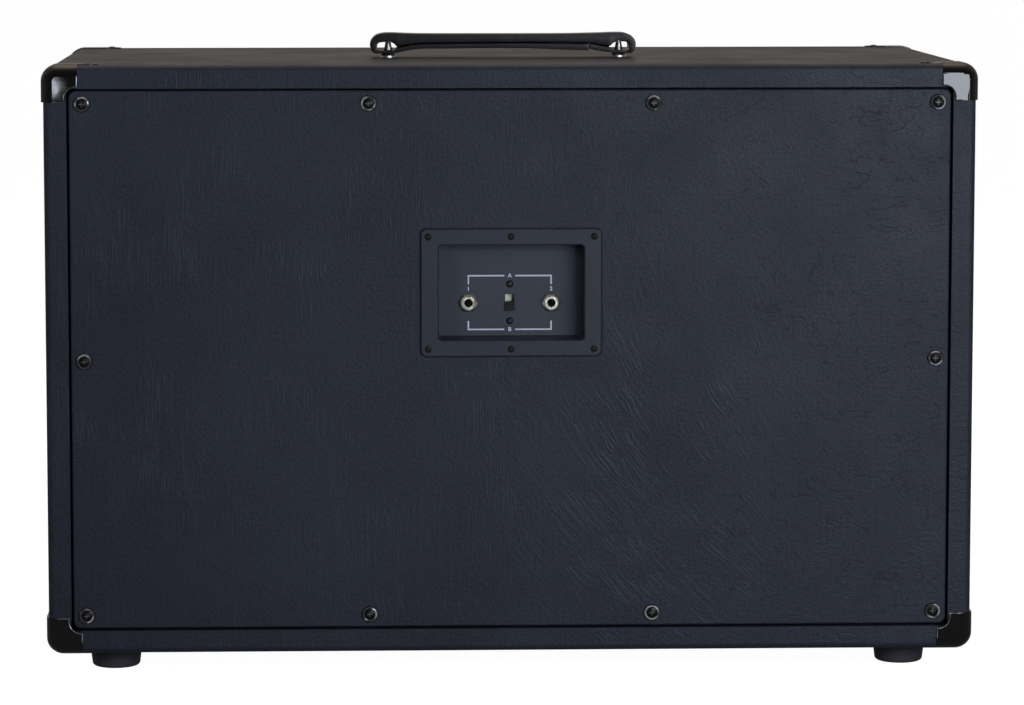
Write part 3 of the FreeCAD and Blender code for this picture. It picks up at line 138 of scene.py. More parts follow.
def length_property(name, description, millimetres, least=0.0):
    return FloatProperty(name=name, description=description, unit="LENGTH",
                         default=millimetres * MILLIMETRE, min=least * MILLIMETRE)


def share_property(name, description, share):
    return FloatProperty(name=name, description=description, subtype="FACTOR", default=share, min=0, max=1)


class CoveringSettings(PropertyGroup):
    """The black vinyl over the carcass and the back panel"""
    colour: colour_property("Colour", "Colour of the vinyl", 0.0100, 0.0116, 0.0165)
    worn_colour: colour_property("Worn colour", "Colour on the crests of the grain", 0.024, 0.0280, 0.0405)
    grain: length_property("Grain", "Width of one pebble of the grain", 1.2, 0.1)
    relief: length_property("Relief", "Depth of the deepest crease", 0.5)


class HandleSettings(PropertyGroup):
    """The soft strap on top"""
    colour: colour_property("Colour", "Colour of the strap", 0.0066, 0.0064, 0.0068)
    edge_round: length_property("Edge round", "Round along the strap's edges", 1.1)
    station_steps: IntProperty(
        name="Station steps", description="Rings of faces between two stations", default=6, min=1)
    rows: IntProperty(name="Rows", description="Faces across the strap", default=8, min=1)


class GrilleSettings(PropertyGroup):
    """The woven cloth over the front"""
    colour: colour_property("Colour", "Colour of the threads", 0.016, 0.016, 0.017)
    thread: length_property("Thread", "Width of one thread", 1.1, 0.2)
    thickness: length_property("Thickness", "Thickness of the cloth", 0.7, 0.1)
    mesh_step: length_property("Mesh step", "Size of one face of the cloth", 4, 1)


class PrintSettings(PropertyGroup):
    """The marks printed on the jack plate"""
    ink: colour_property("Ink", "Colour of the printed marks", 0.42, 0.43, 0.50)
    line: length_property("Line", "Width of a printed line", 1.1)
    film: length_property("Film", "Thickness of the ink", 0.06)
    upper_rise: length_property("Upper rise", "Height of the upper bracket over the jacks", 20.1)
    lower_drop: length_property("Lower drop", "Depth of the lower bracket under the jacks", 20.2)
    leg: length_property("Leg", "Length of a bracket's legs", 6)
    gap: length_property("Gap", "Half the opening in the middle of a bracket", 4.2)
    figure_height: length_property("Figure height", "Height of a printed figure", 3.0)
    figure_rise: length_property("Figure rise", "Height of the figures over the jacks", 10.5)


class FittingSettings(PropertyGroup):
    """Colours of the hard fittings"""
    protector: colour_property("Protector", "Lacquer of the corner protectors", 0.002, 0.002, 0.0022)
    # Dust and painted sheen on the protectors where they roll over and on their tabs
    protector_dust_and_sheen: colour_property("Protector dust", "Dust where they roll over", 0.0115, 0.0095, 0.0080)
    # Worn steel on the protectors' lips, which also paints highlight lines along them
    protector_lip_glint_steel: colour_property("Protector steel", "Steel along their worn lips", 0.21, 0.22, 0.25)
    plastic: colour_property("Plastic", "Moulding of the jack plate", 0.0140, 0.0164, 0.0228)
    nickel: colour_property("Nickel", "Plating of the jacks and their nuts", 0.78, 0.77, 0.66)
    screw: colour_property("Screw", "Blackened screws", 0.0035, 0.0032, 0.0032)
    # Worn steel on the washers' crests, which also paints highlight arcs round them
    washer_glint_steel: colour_property("Washer", "Steel along the crests of the cup washers", 0.78, 0.76, 0.78)
    rubber: colour_property("Rubber", "Rubber of the feet", 0.0235, 0.0220, 0.0262)
    edge_round: length_property("Edge round", "Round along the protectors' edges", 0.6)


class StageSettings(PropertyGroup):
    """Camera, lamps and floor"""
    camera_place: FloatVectorProperty(
        name="Camera place", description="Where the camera stands", subtype="TRANSLATION", unit="LENGTH",
        default=(-0.1321, -3.1485, 0.5962))
    camera_turn: FloatVectorProperty(
        name="Camera turn", description="How the camera is turned", subtype="EULER", unit="ROTATION",
        default=(math.radians(84.224), math.radians(0.063), math.radians(-1.661)))
    lens: FloatProperty(name="Lens", description="Focal length in millimetres", default=138.34, min=1)
    shift_x: FloatProperty(name="Shift across", description="Sideways shift of the lens", default=0.06)
    shift_y: FloatProperty(name="Shift up", description="Upward shift of the lens", default=-0.06)
    sky: FloatProperty(name="Sky", description="Strength of the light all round", default=0.2, min=0)
    floor_size: FloatProperty(
        name="Floor size", description="Width of the floor", unit="LENGTH", default=60.0, min=1)
    floor_glow: share_property("Floor glow", "Share of its white that shadows leave", 0.975)
    floor_gloss: share_property("Floor in gloss", "Brightness where gloss mirrors it", 0.12)


# Building shader trees

def set_sockets(item, values):
    """Fills input sockets: an output socket is linked to, anything else is set as the value."""
    for name, value in values.items():
        if isinstance(value, NodeSocket):
            item.id_data.links.new(value, item.inputs[name])
        else:
            item.inputs[name].default_value = value


def add_node(tree, kind, values=None, **options):
    item = tree.nodes.new(f"ShaderNode{kind}")
    for name, value in options.items():
        setattr(item, name, value)
    set_sockets(item, values or {})
    return item


def feed(kind, values, **options):
    """Adds a node to the tree of the sockets that feed it."""
    tree = next(value.id_data for value in values.values() if isinstance(value, NodeSocket))
    return add_node(tree, kind, values, **options)


def calculate(operation, first, second=0.0, third=0.0):
    return feed("Math", {0: first, 1: second, 2: third}, operation=operation).outputs["Value"]


def product(first, *others):
    for other in others:
        first = calculate("MULTIPLY", first, other)
    return first


def largest(first, *others):
    for other in others:
        first = calculate("MAXIMUM", first, other)
    return first


def scaled(value, factor, base):
    """The value times the factor, on top of the base."""
    return calculate("MULTIPLY_ADD", value, factor, base)


def magnitude(value):
    return calculate("ABSOLUTE", value)


def remap(value, low, high, new_low=0.0, new_high=1.0):
    values = {"Value": value, "From Min": low, "From Max": high, "To Min": new_low, "To Max": new_high}
    return feed("MapRange", values).outputs["Result"]


def mix_colours(share, first, second):
    return feed("Mix", {0: share, 6: first, 7: second}, data_type="RGBA").outputs[2]


def tint(colour, share):
    """A colour made paler or darker."""
    return [min(1.0, share * part) for part in colour[:3]] + [1.0]


def axes(vector):
    return feed("SeparateXYZ", {"Vector": vector}).outputs


def stretched(where, stretch):
    return feed("Mapping", {"Vector": where, "Scale": stretch}).outputs["Vector"]


def add_noise(where, scale, detail=3.0, roughness=0.6, distortion=0.0, dimensions="3D"):
    values = {"Vector": where, "Scale": scale, "Detail": detail, "Roughness": roughness,
              "Distortion": distortion}
    return feed("TexNoise", values, noise_dimensions=dimensions).outputs["Fac"]


def lines_at_middle(value, width):
    """1 on the lines along which a noise passes through its middle, fading to 0 beside them."""
    return remap(magnitude(calculate("SUBTRACT", value, 0.5)), 0.0, width, 1.0, 0.0)


def add_bump(height, depth, strength):
    return feed("Bump", {"Height": height, "Distance": depth, "Strength": strength}).outputs["Normal"]


def new_group(name, inputs, outputs):
    """An empty shader group; returns its input sockets by name and its output node."""
    tree = bpy.data.node_groups.new(name, "ShaderNodeTree")
    tree.interface.new_socket("Vector", in_out="INPUT", socket_type="NodeSocketVector")
    for label, default in inputs.items():
        socket = tree.interface.new_socket(label, in_out="INPUT", socket_type="NodeSocketFloat")
        socket.default_value = default
    for label in outputs:
        tree.interface.new_socket(label, in_out="OUTPUT", socket_type="NodeSocketFloat")
    return tree.nodes.new("NodeGroupInput").outputs, tree.nodes.new("NodeGroupOutput")


def use_group(name, values):
    return feed("Group", values, node_tree=bpy.data.node_groups[name]).outputs


def handled(where, size, low, high):
    """Handling's marks: smudges of the size given, between two roughnesses."""
    return use_group("Handling", {"Vector": where, "Size": size, "Low": low, "High": high})


def new_material(name):
    """A material; returns it and its coordinates."""
    material = bpy.data.materials.new(name)
    material.use_nodes = True
    return material, add_node(material.node_tree, "TexCoord").outputs["Object"]


def finish(material, where, colours, specular, smudges=None, **others):
    """Fills the shader's sockets: two colours mixed by a mask, and smudges between two roughnesses."""
    if smudges:
        others["Roughness"] = handled(where, *smudges)["Roughness"]
    set_sockets(material.node_tree.nodes["Principled BSDF"], {
        "Base Color": mix_colours(*colours), "Specular IOR Level": specular, **others})
    return material


# Shared effects

def make_leather_group():
    """Fine grain, upright streaks on the left, wrinkles low in the middle, and cracks on the right."""
    given, result = new_group("Leather", {"Grain": 0.8 * MILLIMETRE, "Creases": 1.0, "Cracks": 1.0},
                              ("Height", "Crests", "Cracks"))

    def noise(place, scale, detail=2.0, roughness=0.55):
        return add_noise(place, scale, detail, roughness, 0.0, "2D")

    def flat_place(x, y):
        return feed("CombineXYZ", {"X": x, "Y": y}).outputs["Vector"]

    # The faces are laid out flat side by side, slanted enough that no face runs edge-on
    parts = axes(given["Vector"])
    across = scaled(parts["Y"], 0.6, parts["X"])
    rise = scaled(parts["Y"], 0.8, parts["Z"])
    flat = flat_place(across, rise)
    wander = calculate("SUBTRACT", noise(flat, 22.0), 0.5)
    patch = noise(flat, 13.0)
    small_patch = noise(flat, 41.0)

    # Upright streaks, mostly on the left
    upright = flat_place(scaled(wander, 0.004, across), product(rise, 0.05))
    streaks = product(lines_at_middle(noise(upright, 210.0), 0.05), remap(across, 0.10, -0.10, 0.2, 0.75),
                      remap(patch, 0.44, 0.60), remap(small_patch, 0.38, 0.55))

    # Wrinkles slant to the right as they fall, and steepen towards the top
    slant = product(rise, remap(rise, -0.10, 0.36, 0.95, 0.30))
    slanting = calculate("ADD", scaled(wander, 0.010, across), slant)
    wrinkle = lines_at_middle(noise(flat_place(slanting, product(rise, 0.10)), 120.0), 0.07)
    middle = product(remap(across, -0.14, -0.05), remap(across, 0.14, 0.05),
                     remap(rise, 0.20, 0.13, 0.1, 1.0))
    wrinkles = product(wrinkle, middle, remap(patch, 0.40, 0.55), remap(small_patch, 0.35, 0.55))

    # Ripples lie level on the right
    level = flat_place(product(across, 0.3), scaled(wander, 0.006, rise))
    ripples = product(lines_at_middle(noise(level, 250.0), 0.08),
                      remap(across, 0.02, 0.16, 0.0, 0.45), remap(small_patch, 0.48, 0.60))
    creases = product(largest(streaks, wrinkles, ripples), given["Creases"])

    # Cracks wander at random and break off after a short run
    def crack_layer(scale, width, stretch, low_end, high_end):
        drawn_out = flat_place(product(across, stretch), rise)
        line = lines_at_middle(noise(drawn_out, scale, 2.0, 0.5), width)
        return product(line, remap(noise(flat, 1.7 * scale, 1.0), low_end, high_end))

    cracks = largest(crack_layer(31.0, 0.012, 0.5, 0.46, 0.53), crack_layer(74.0, 0.026, 0.6, 0.51, 0.59))
    cracks = product(cracks, remap(across, -0.12, 0.12, 0.1, 1.0),
                     remap(patch, 0.36, 0.54, 0.3, 1.0), given["Cracks"])

    # Pebbles of the grain
    per_grain = calculate("DIVIDE", 1.0, given["Grain"])
    pebbles = remap(noise(flat, product(per_grain, 0.45), 3.0, 0.7), 0.30, 0.70)
    height = scaled(creases, 0.8, product(pebbles, 0.5))
    set_sockets(result, {
        "Height": scaled(cracks, -0.5, height),
        "Crests": scaled(creases, 0.6, product(pebbles, 0.65)),
        "Cracks": cracks})


def make_handling_group():
    """Smudges and specks of dust: a roughness that drifts, and a mask of specks."""
    given, result = new_group("Handling", {"Size": 0.03, "Low": 0.2, "High": 0.4}, ("Roughness", "Specks"))
    scale = calculate("DIVIDE", 1.0, given["Size"])
    smudge = add_noise(given["Vector"], scale, 3.0, 0.62)
    specks = add_noise(given["Vector"], product(scale, 28.0), 2.0, 0.5)
    set_sockets(result, {"Roughness": remap(smudge, 0.35, 0.68, given["Low"], given["High"]),
                         "Specks": remap(specks, 0.66, 0.74)})


def make_stipple_group():
    """The fine spark-eroded texture of a moulding."""
    given, result = new_group("Stipple", {"Size": 0.5 * MILLIMETRE}, ("Height",))
    scale = calculate("DIVIDE", 1.0, given["Size"])
    bumps = feed("TexVoronoi", {"Vector": given["Vector"], "Scale": scale}, feature="SMOOTH_F1")
    soft = add_noise(given["Vector"], product(scale, 0.5))
    set_sockets(result, {"Height": calculate("ADD", bumps.outputs["Distance"], soft)})


def make_wood_group():
    """Grain of a board whose fibres run along X."""
    given, result = new_group("Wood", {"Ring": 6 * MILLIMETRE}, ("Rings", "Fibres"))
    scale = calculate("DIVIDE", 1.0, given["Ring"])
    drawn_out = stretched(given["Vector"], (0.06, 1.0, 1.0))
    set_sockets(result, {
        "Rings": add_noise(drawn_out, scale, 2.0, 0.5, 1.2),
        "Fibres": add_noise(drawn_out, product(scale, 9.0), 4.0)})


def make_weave_group():
    """Threads over and under each other, on a cloth's own flat coordinates in metres."""
    given, result = new_group("Weave", {"Thread": 1.1 * MILLIMETRE}, ("Height",))
    parts = axes(given["Vector"])
    turn = calculate("DIVIDE", math.pi, given["Thread"])

    def thread(place, other):
        ridge_line = magnitude(calculate("SINE", product(place, turn)))
        step = calculate("FLOOR", calculate("DIVIDE", place, given["Thread"]))
        phase = scaled(other, turn, product(step, math.pi))
        return product(ridge_line, scaled(calculate("SINE", phase), 0.5, 0.5))

    warp = thread(parts["X"], parts["Y"])
    weft = thread(calculate("ADD", parts["Y"], given["Thread"]), parts["X"])
    set_sockets(result, {"Height": largest(warp, weft)})


# Finishes

def outline_mask(where, low, high, corner, reach, corners_only=False):
    """1 along a rounded rectangle's outline in X and Z, or at its corners, fading to 0 at the reach."""
    parts = axes(where)
    squares = []
    at_corner = 1.0
    for axis, start, end in (("X", low.x, high.x), ("Z", low.z, high.z)):
        off_middle = magnitude(calculate("SUBTRACT", parts[axis], (start + end) / 2))
        past = largest(calculate("SUBTRACT", off_middle, (end - start) / 2 - corner), 0.0)
        squares.append(product(past, past))
        if corners_only:
            at_corner = product(calculate("GREATER_THAN", past, 0.0), at_corner)
    away = calculate("SQRT", calculate("ADD", *squares))
    return product(remap(away, corner + 0.3 * reach, corner + reach, 0.92, 0.0), at_corner)


def vinyl_finish(settings, name, creases, cracks, outline):
    """Grained vinyl, darker in its cracks, with painted shade along the outline given."""
    material, where = new_material(name)
    leather = use_group("Leather", {
        "Vector": where, "Grain": settings.grain, "Creases": creases, "Cracks": cracks})
    cloud = remap(add_noise(where, 9.0, 2.0, 0.55), 0.3, 0.7, 0.0, 0.3)
    colour = mix_colours(scaled(leather["Crests"], 0.6, cloud), settings.colour, settings.worn_colour)
    # Darker in the cracks; painted shade along the outline, where shadow falls in the gap beside it
    crack_dark_and_shade = largest(product(leather["Cracks"], 0.4), outline_mask(where, *outline))
    return finish(material, where, (crack_dark_and_shade, colour, CRACK_AND_SHADE_BLACK), 0.13, (0.06, 0.41, 0.53),
                  Normal=add_bump(leather["Height"], settings.relief, 0.6))


def strap_finish(settings):
    """Smoother vinyl, a little paler on the crests of its grain."""
    material, where = new_material("strap_vinyl")
    leather = use_group("Leather", {
        "Vector": where, "Grain": 0.9 * MILLIMETRE, "Creases": 0.2, "Cracks": 0.0})
    return finish(material, where, (leather["Crests"], settings.colour, tint(settings.colour, 1.5)), 0.14,
                  (0.02, 0.26, 0.4), Normal=add_bump(leather["Height"], 0.15 * MILLIMETRE, 0.5))


def lacquer_finish(settings):
    """Black lacquer with dust, scuffs and a painted sheen on the rolls and tabs, most towards the top."""
    material, where = new_material("protector_lacquer")
    parts = axes(where)
    facing = axes(add_node(material.node_tree, "NewGeometry").outputs["Normal"])
    turned_away = remap(magnitude(facing["Y"]), 0.97, 0.80)
    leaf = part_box("shell_covering")[1].y
    on_tabs = remap(magnitude(parts["Y"]), leaf, leaf - 1 * MILLIMETRE)
    streaks = add_noise(stretched(where, (0.3, 1.0, 1.0)), 420.0)
    # Dust and painted sheen where light falls from above: on the rolls and tabs, stronger higher up
    scuffed_and_sheen = product(largest(turned_away, on_tabs),
                      remap(parts["Z"], 0.10, 0.40, 0.1, 1.0), remap(streaks, 0.3, 0.7, 0.6, 1.0))
    marks = handled(where, 0.02, 0.01, 0.05)
    return finish(material, where, (scuffed_and_sheen, settings.protector, settings.protector_dust_and_sheen), 0.3,
                  Roughness=scaled(scuffed_and_sheen, 0.4, marks["Roughness"]),
                  Normal=add_bump(add_noise(where, 160.0), 0.006 * MILLIMETRE, 0.5))


def worn_lip_finish(settings):
    """Lips of the protectors' back and front leaves, worn to steel that also paints highlight lines."""
    material, where = new_material("protector_worn_lip")
    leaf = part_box("shell_covering")[1].y
    # Worn steel along the lips, standing also for painted highlight lines
    wear_and_glint = product(remap(magnitude(axes(where)["Y"]), leaf - 1 * MILLIMETRE, leaf),
                     remap(add_noise(where, 130.0), 0.36, 0.56))
    return finish(material, where, (wear_and_glint, settings.protector, settings.protector_lip_glint_steel), 0.25,
                  (0.01, 0.34, 0.5), Metallic=wear_and_glint)


def moulding_finish(name, colour, stipple, low, high, fill_light_from=None):
    """Textured moulding; painted light makes it paler behind the depth given."""
    material, where = new_material(name)
    texture = use_group("Stipple", {"Vector": where, "Size": stipple})
    marks = handled(where, 0.025, low, high)
    faded = mix_colours(product(texture["Height"], 0.35), colour, tint(colour, 1.9))
    if fill_light_from is not None:
        # Painted light on the dish's floor, paler and bluer, where its walls shade it
        fill_light = remap(axes(where)["Y"], fill_light_from, fill_light_from + 5 * MILLIMETRE, 0.0, 0.012)
        faded = mix_colours(fill_light, faded, PAINTED_FILL_LIGHT)
    return finish(material, where, (product(marks["Specks"], 0.25), faded, SPECKS), 0.16,
                  Roughness=marks["Roughness"], Normal=add_bump(texture["Height"], 0.08 * MILLIMETRE, 0.4))


def plated_finish(name, colour, low, high, metallic=1.0, ripple=0.02 * MILLIMETRE):
    """Plated or blackened metal with patches of tarnish."""
    material, where = new_material(name)
    tarnish = remap(add_noise(where, 260.0, 4.0), 0.35, 0.7, 0.0, 0.45)
    return finish(material, where, (tarnish, colour, tint(colour, 0.62)), 0.5, (0.008, low, high),
                  Metallic=metallic, Normal=add_bump(add_noise(where, 900.0), ripple, 0.4))


def driven_finish(settings, node, rise, share):
    """Blackened screw heads whose recess is worn bright by the driver, which also paints glints in it."""
    material, where = new_material(f"{node}_steel")
    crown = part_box(node)[0].y
    # Worn steel in the recess, standing also for painted glints
    wear_and_glint = product(remap(axes(where)["Y"], crown + 0.8 * rise, crown + rise), share)
    return finish(material, where, (wear_and_glint, settings.screw, WORN_STEEL_GLINT), 0.1, (0.006, 0.3, 0.45),
                  Metallic=wear_and_glint)


def washer_finish(settings):
    """Blackened cup washers, worn bright in patches along their crests, which paints highlight arcs."""
    material, where = new_material("washer_plating")
    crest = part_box("back_panel_cup_washers")[0].y
    worn = remap(add_noise(where, 120.0, 2.0, 0.5), 0.49, 0.62, 0.05, 1.0)
    near_crest = remap(axes(where)["Y"], crest + 0.6 * MILLIMETRE, crest + 0.2 * MILLIMETRE)
    # Worn steel in patches along the crests, standing also for painted highlight arcs
    wear_and_glint = product(near_crest, worn)
    return finish(material, where, (wear_and_glint, settings.screw, settings.washer_glint_steel), 0.4, (0.006, 0.25, 0.4),
                  Metallic=wear_and_glint)


def board_finish(name, pale, dark, paint_from):
    """Bare wood, painted black behind the depth given, where the back panel's joint shows it."""
    material, where = new_material(name)
    wood = use_group("Wood", {"Vector": where})
    tone = scaled(wood["Rings"], 0.75, product(wood["Fibres"], 0.35))
    painted = calculate("LESS_THAN", axes(where)["Y"], paint_from)
    return finish(material, where, (painted, mix_colours(tone, pale, dark), BLACK_PAINT), 0.2,
                  (0.05, 0.55, 0.8), Normal=add_bump(wood["Fibres"], 0.15 * MILLIMETRE, 0.5))


def paper_finish(name, colour, fibre, rough):
    """Pressed paper, felt, rubberised cloth or cast iron: a mottled matt surface."""
    material, where = new_material(name)
    fibres = add_noise(where, 1.0 / fibre, 5.0, 0.65, 1.0)
    return finish(material, where, (fibres, colour, tint(colour, 1.7)), 0.25,
                  (0.04, rough - 0.1, rough + 0.1), Normal=add_bump(fibres, 0.2 * MILLIMETRE, 0.5))


def cloth_finish(settings, flat):
    """Woven threads of uneven thickness, on the cloth's own flat coordinates."""
    material, where = new_material("grille_weave")
    flat_place = add_node(material.node_tree, "UVMap", uv_map="flat").outputs["UV"]
    metres = stretched(flat_place, (*flat, 1.0))
    weave = use_group("Weave", {"Vector": metres, "Thread": settings.thread})
    slub = remap(add_noise(metres, 300.0), 0.3, 0.7, 0.55, 1.0)
    shade = product(weave["Height"], slub)
    return finish(material, where, (shade, settings.colour, tint(settings.colour, 2.6)), 0.2,
                  (0.08, 0.7, 0.9), Normal=add_bump(weave["Height"], 0.5 * MILLIMETRE, 0.9))


def jack_finish(settings, seat_y):
    """Nickel in front of the dish's floor, black moulding behind it."""
    material, where = new_material("jack_bush_and_body")
    behind = calculate("GREATER_THAN", axes(where)["Y"], seat_y)
    return finish(material, where, (behind, settings.nickel, settings.plastic), 0.5, (0.008, 0.16, 0.34),
                  Metallic=calculate("SUBTRACT", 1.0, behind))


def ink_finish(settings):
    """Screen-printed ink, thin in places."""
    material, where = new_material("white_print")
    wear = remap(add_noise(where, 1500.0), 0.3, 0.75, 0.0, 0.5)
    return finish(material, where, (wear, settings.ink, tint(settings.ink, 0.55)), 0.3, (0.01, 0.5, 0.7))


def dress(material, *names):
    """Gives CAD nodes a finish."""
    for name in names:
        slots = NODES[name].data.materials
        slots.clear()
        slots.append(material)


# Modelling

def set_mode(mode):
    bpy.ops.object.mode_set(mode=mode)


def deselect():
    if bpy.context.object and bpy.context.object.mode != "OBJECT":
        set_mode("OBJECT")
    bpy.ops.object.select_all(action="DESELECT")


def select_only(item):
    deselect()
    item.select_set(True)
    bpy.context.view_layer.objects.active = item


def select_parts(item, kind, chosen):
    """Selects, in edit mode, the edges or faces of the active object that pass the test."""
    set_mode("EDIT")
    bpy.ops.mesh.select_mode(type=kind)
    bpy.ops.mesh.select_all(action="DESELECT")
    set_mode("OBJECT")
    for part in item.data.edges if kind == "EDGE" else item.data.polygons:
        part.select = chosen(part)
    set_mode("EDIT")


def turn_normals_out(item):
    select_only(item)
    set_mode("EDIT")
    bpy.ops.mesh.select_all(action="SELECT")
    bpy.ops.mesh.normals_make_consistent(inside=False)
    set_mode("OBJECT")


def added(name):
    """Names the object that an operator has just added."""
    item = bpy.context.object
    item.name = name
    item.data.name = name
    return item


def apply_modifier(item, kind, **options):
    bpy.context.view_layer.objects.active = item
    modifier = item.modifiers.new(kind.title(), kind)
    for name, value in options.items():
        setattr(modifier, name, value)
    bpy.ops.object.modifier_apply(modifier=modifier.name)


def make_piece(item, material):
    item.data.materials.clear()
    item.data.materials.append(material)
    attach(item, "cabinet")


def merged_copy(node, name):
    """A copy of a CAD node's mesh with its triangles joined and its flat faces made whole."""
    item = bpy.data.objects.new(name, NODES[node].data.copy())
    item.data.name = name
    bpy.context.scene.collection.objects.link(item)
    select_only(item)
    set_mode("EDIT")
    bpy.ops.mesh.select_all(action="SELECT")
    bpy.ops.mesh.remove_doubles(threshold=WELD_DISTANCE)
    bpy.ops.mesh.dissolve_limited(angle_limit=FLAT_ANGLE)
    set_mode("OBJECT")
    return item


def smooth_stations(stations, steps):
    """A smooth line through the stations, with the given number of steps between two of them."""
    line = []
    last = len(stations) - 1
    for index in range(last):
        four = [Vector(stations[min(max(index + away, 0), last)]) for away in (-1, 0, 1, 2)]
        for step in range(steps):
            t = step / steps
            line.append(0.5 * (2 * four[1] + (four[2] - four[0]) * t
                               + (2 * four[0] - 5 * four[1] + 4 * four[2] - four[3]) * t ** 2
                               + (3 * four[1] - four[0] - 3 * four[2] + four[3]) * t ** 3))
    line.append(Vector(stations[last]))
    return line


class CABINET_OT_shared_effects(Operator):
    """Builds the shader groups that several finishes share"""
    bl_idname = "cabinet.shared_effects"
    bl_label = "Shared effects"

    def execute(self, context):
        make_leather_group()
        make_handling_group()
        make_stipple_group()
        make_wood_group()
        make_weave_group()
        return {"FINISHED"}


class CABINET_OT_covering(Operator):
    """Covers the carcass and the back panel with grained vinyl"""
    bl_idname = "cabinet.covering"
    bl_label = "Vinyl covering"

    def execute(self, context):
        settings = context.scene.cabinet_covering
        # Painted shade in the corners of the opening round the back panel, and round the jack plate's edge
        opening = (*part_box("back_panel_covering"), OPENING_ROUND, OPENING_SHADE_REACH, True)
        dress(vinyl_finish(settings, "shell_vinyl", 0.8, 0.6, opening), "shell_covering")
        plate = (*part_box("jack_plate"), PLATE_ROUND, PLATE_SHADE_REACH)
        dress(vinyl_finish(settings, "panel_vinyl", 1.0, 1.0, plate), "back_panel_covering")
        return {"FINISHED"}


class CABINET_OT_woodwork(Operator):
    """Gives the boards, battens and frames their wood and black paint"""
    bl_idname = "cabinet.woodwork"
    bl_label = "Woodwork"

    def execute(self, context):
        paint_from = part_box("back_cleats")[0].y + PAINT_DEPTH
        birch = board_finish("birch_ply", (0.56, 0.40, 0.24, 1.0), (0.32, 0.20, 0.10, 1.0), paint_from)
        dress(birch, "top_panel", "bottom_panel", "left_side_panel", "right_side_panel", "back_panel",
              "back_cleats", "baffle_cleats")
        painted = board_finish("blackened_board", (0.020, 0.019, 0.018, 1.0), (0.010, 0.010, 0.010, 1.0),
                               paint_from)
        dress(painted, "baffle_board", "grille_frame")
        return {"FINISHED"}


class CABINET_OT_protectors(Operator):
    """Turns the corner protectors' lips and lacquers them"""
    bl_idname = "cabinet.protectors"
    bl_label = "Corner protectors"

    @staticmethod
    def turn_lips(item, width):
        """Rounds the free edges of the flat leaves; the new faces take the second finish."""
        mesh = item.data
        leaf = max(abs(vertex.co.y) for vertex in mesh.vertices) - NEARNESS
        facing = {}
        for face in mesh.polygons:
            for key in face.edge_keys:
                facing.setdefault(key, []).append(abs(face.normal.y))

        def is_free(edge):
            on_leaf = all(abs(mesh.vertices[number].co.y) > leaf for number in edge.vertices)
            turns = facing[edge.key]
            return on_leaf and max(turns) > LEAF_FACING and min(turns) < EDGE_FACING

        def is_flat(face):
            return abs(face.normal.y) > FLAT_FACING and abs(face.center.y) > leaf

        select_parts(item, "EDGE", is_free)
        bpy.ops.mesh.bevel(offset=width, segments=ROUND_SEGMENTS, affect="EDGES", material=1)

        # A narrow border keeps the flats of the leaves true where the rolls begin
        select_parts(item, "FACE", is_flat)
        bpy.ops.mesh.inset(thickness=width * LIP_BORDER_SHARE)
        set_mode("OBJECT")

    def execute(self, context):
        settings = context.scene.cabinet_fittings
        lacquer = lacquer_finish(settings)
        lip = worn_lip_finish(settings)
        for end in ("rear", "front"):
            node = f"{end}_corner_protectors"
            item = merged_copy(node, f"{end}_protectors_lipped")
            make_piece(item, lacquer)
            item.data.materials.append(lip)
            self.turn_lips(item, settings.edge_round)
            bpy.ops.object.shade_smooth_by_angle(angle=PROTECTOR_SMOOTH)
            apply_modifier(item, "WEIGHTED_NORMAL", mode="FACE_AREA", weight=FLAT_FACE_WEIGHT,
                           keep_sharp=True)
            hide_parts(node)
        return {"FINISHED"}


class CABINET_OT_fasteners(Operator):
    """Finishes the screws, washers, bolts and tee nuts"""
    bl_idname = "cabinet.fasteners"
    bl_label = "Fasteners"

    def execute(self, context):
        settings = context.scene.cabinet_fittings
        # Depth of each head's recess, and the share of worn steel there that also paints glints
        for node, rise, share in (("back_panel_screws", 0.9, 0.13), ("jack_plate_screws", 0.7, 0.03)):
            dress(driven_finish(settings, node, rise * MILLIMETRE, share), node)
        black = plated_finish("blackened_steel", settings.screw, 0.45, 0.6, 0.2)
        dress(black, "corner_screws", "switch_screws")
        dress(washer_finish(settings), "back_panel_cup_washers")
        zinc = plated_finish("zinc_plating", (0.55, 0.56, 0.58, 1.0), 0.25, 0.45)
        dress(zinc, "speaker_bolts", "speaker_tee_nuts", "handle_tee_nuts", "foot_screws")
        return {"FINISHED"}


class CABINET_OT_jack_plate(Operator):
    """Finishes the moulded dish, its jacks and its switch"""
    bl_idname = "cabinet.jack_plate"
    bl_label = "Jack plate"

    def execute(self, context):
        settings = context.scene.cabinet_fittings
        seat_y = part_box("jack_nuts")[1].y
        # Painted light on the dish's floor, starting a little in front of the nuts' seat
        plate = moulding_finish("plate_moulding", settings.plastic, 0.45 * MILLIMETRE, 0.42, 0.56,
                                seat_y - FILL_LIGHT_DEPTH)
        dress(plate, "jack_plate")
        dress(jack_finish(settings, seat_y), "left_jack", "right_jack")
        nickel = plated_finish("bright_nickel", settings.nickel, 0.08, 0.2, 1.0, 0.004 * MILLIMETRE)
        dress(nickel, "jack_nuts")
        dress(plated_finish("switch_steel", (0.34, 0.35, 0.27, 1.0), 0.35, 0.5), "switch_frame")
        slider = moulding_finish("slider_moulding", (0.0012, 0.0012, 0.0014, 1.0), 0.3 * MILLIMETRE,
                                 0.3, 0.45)
        dress(slider, "switch_slider")
        return {"FINISHED"}


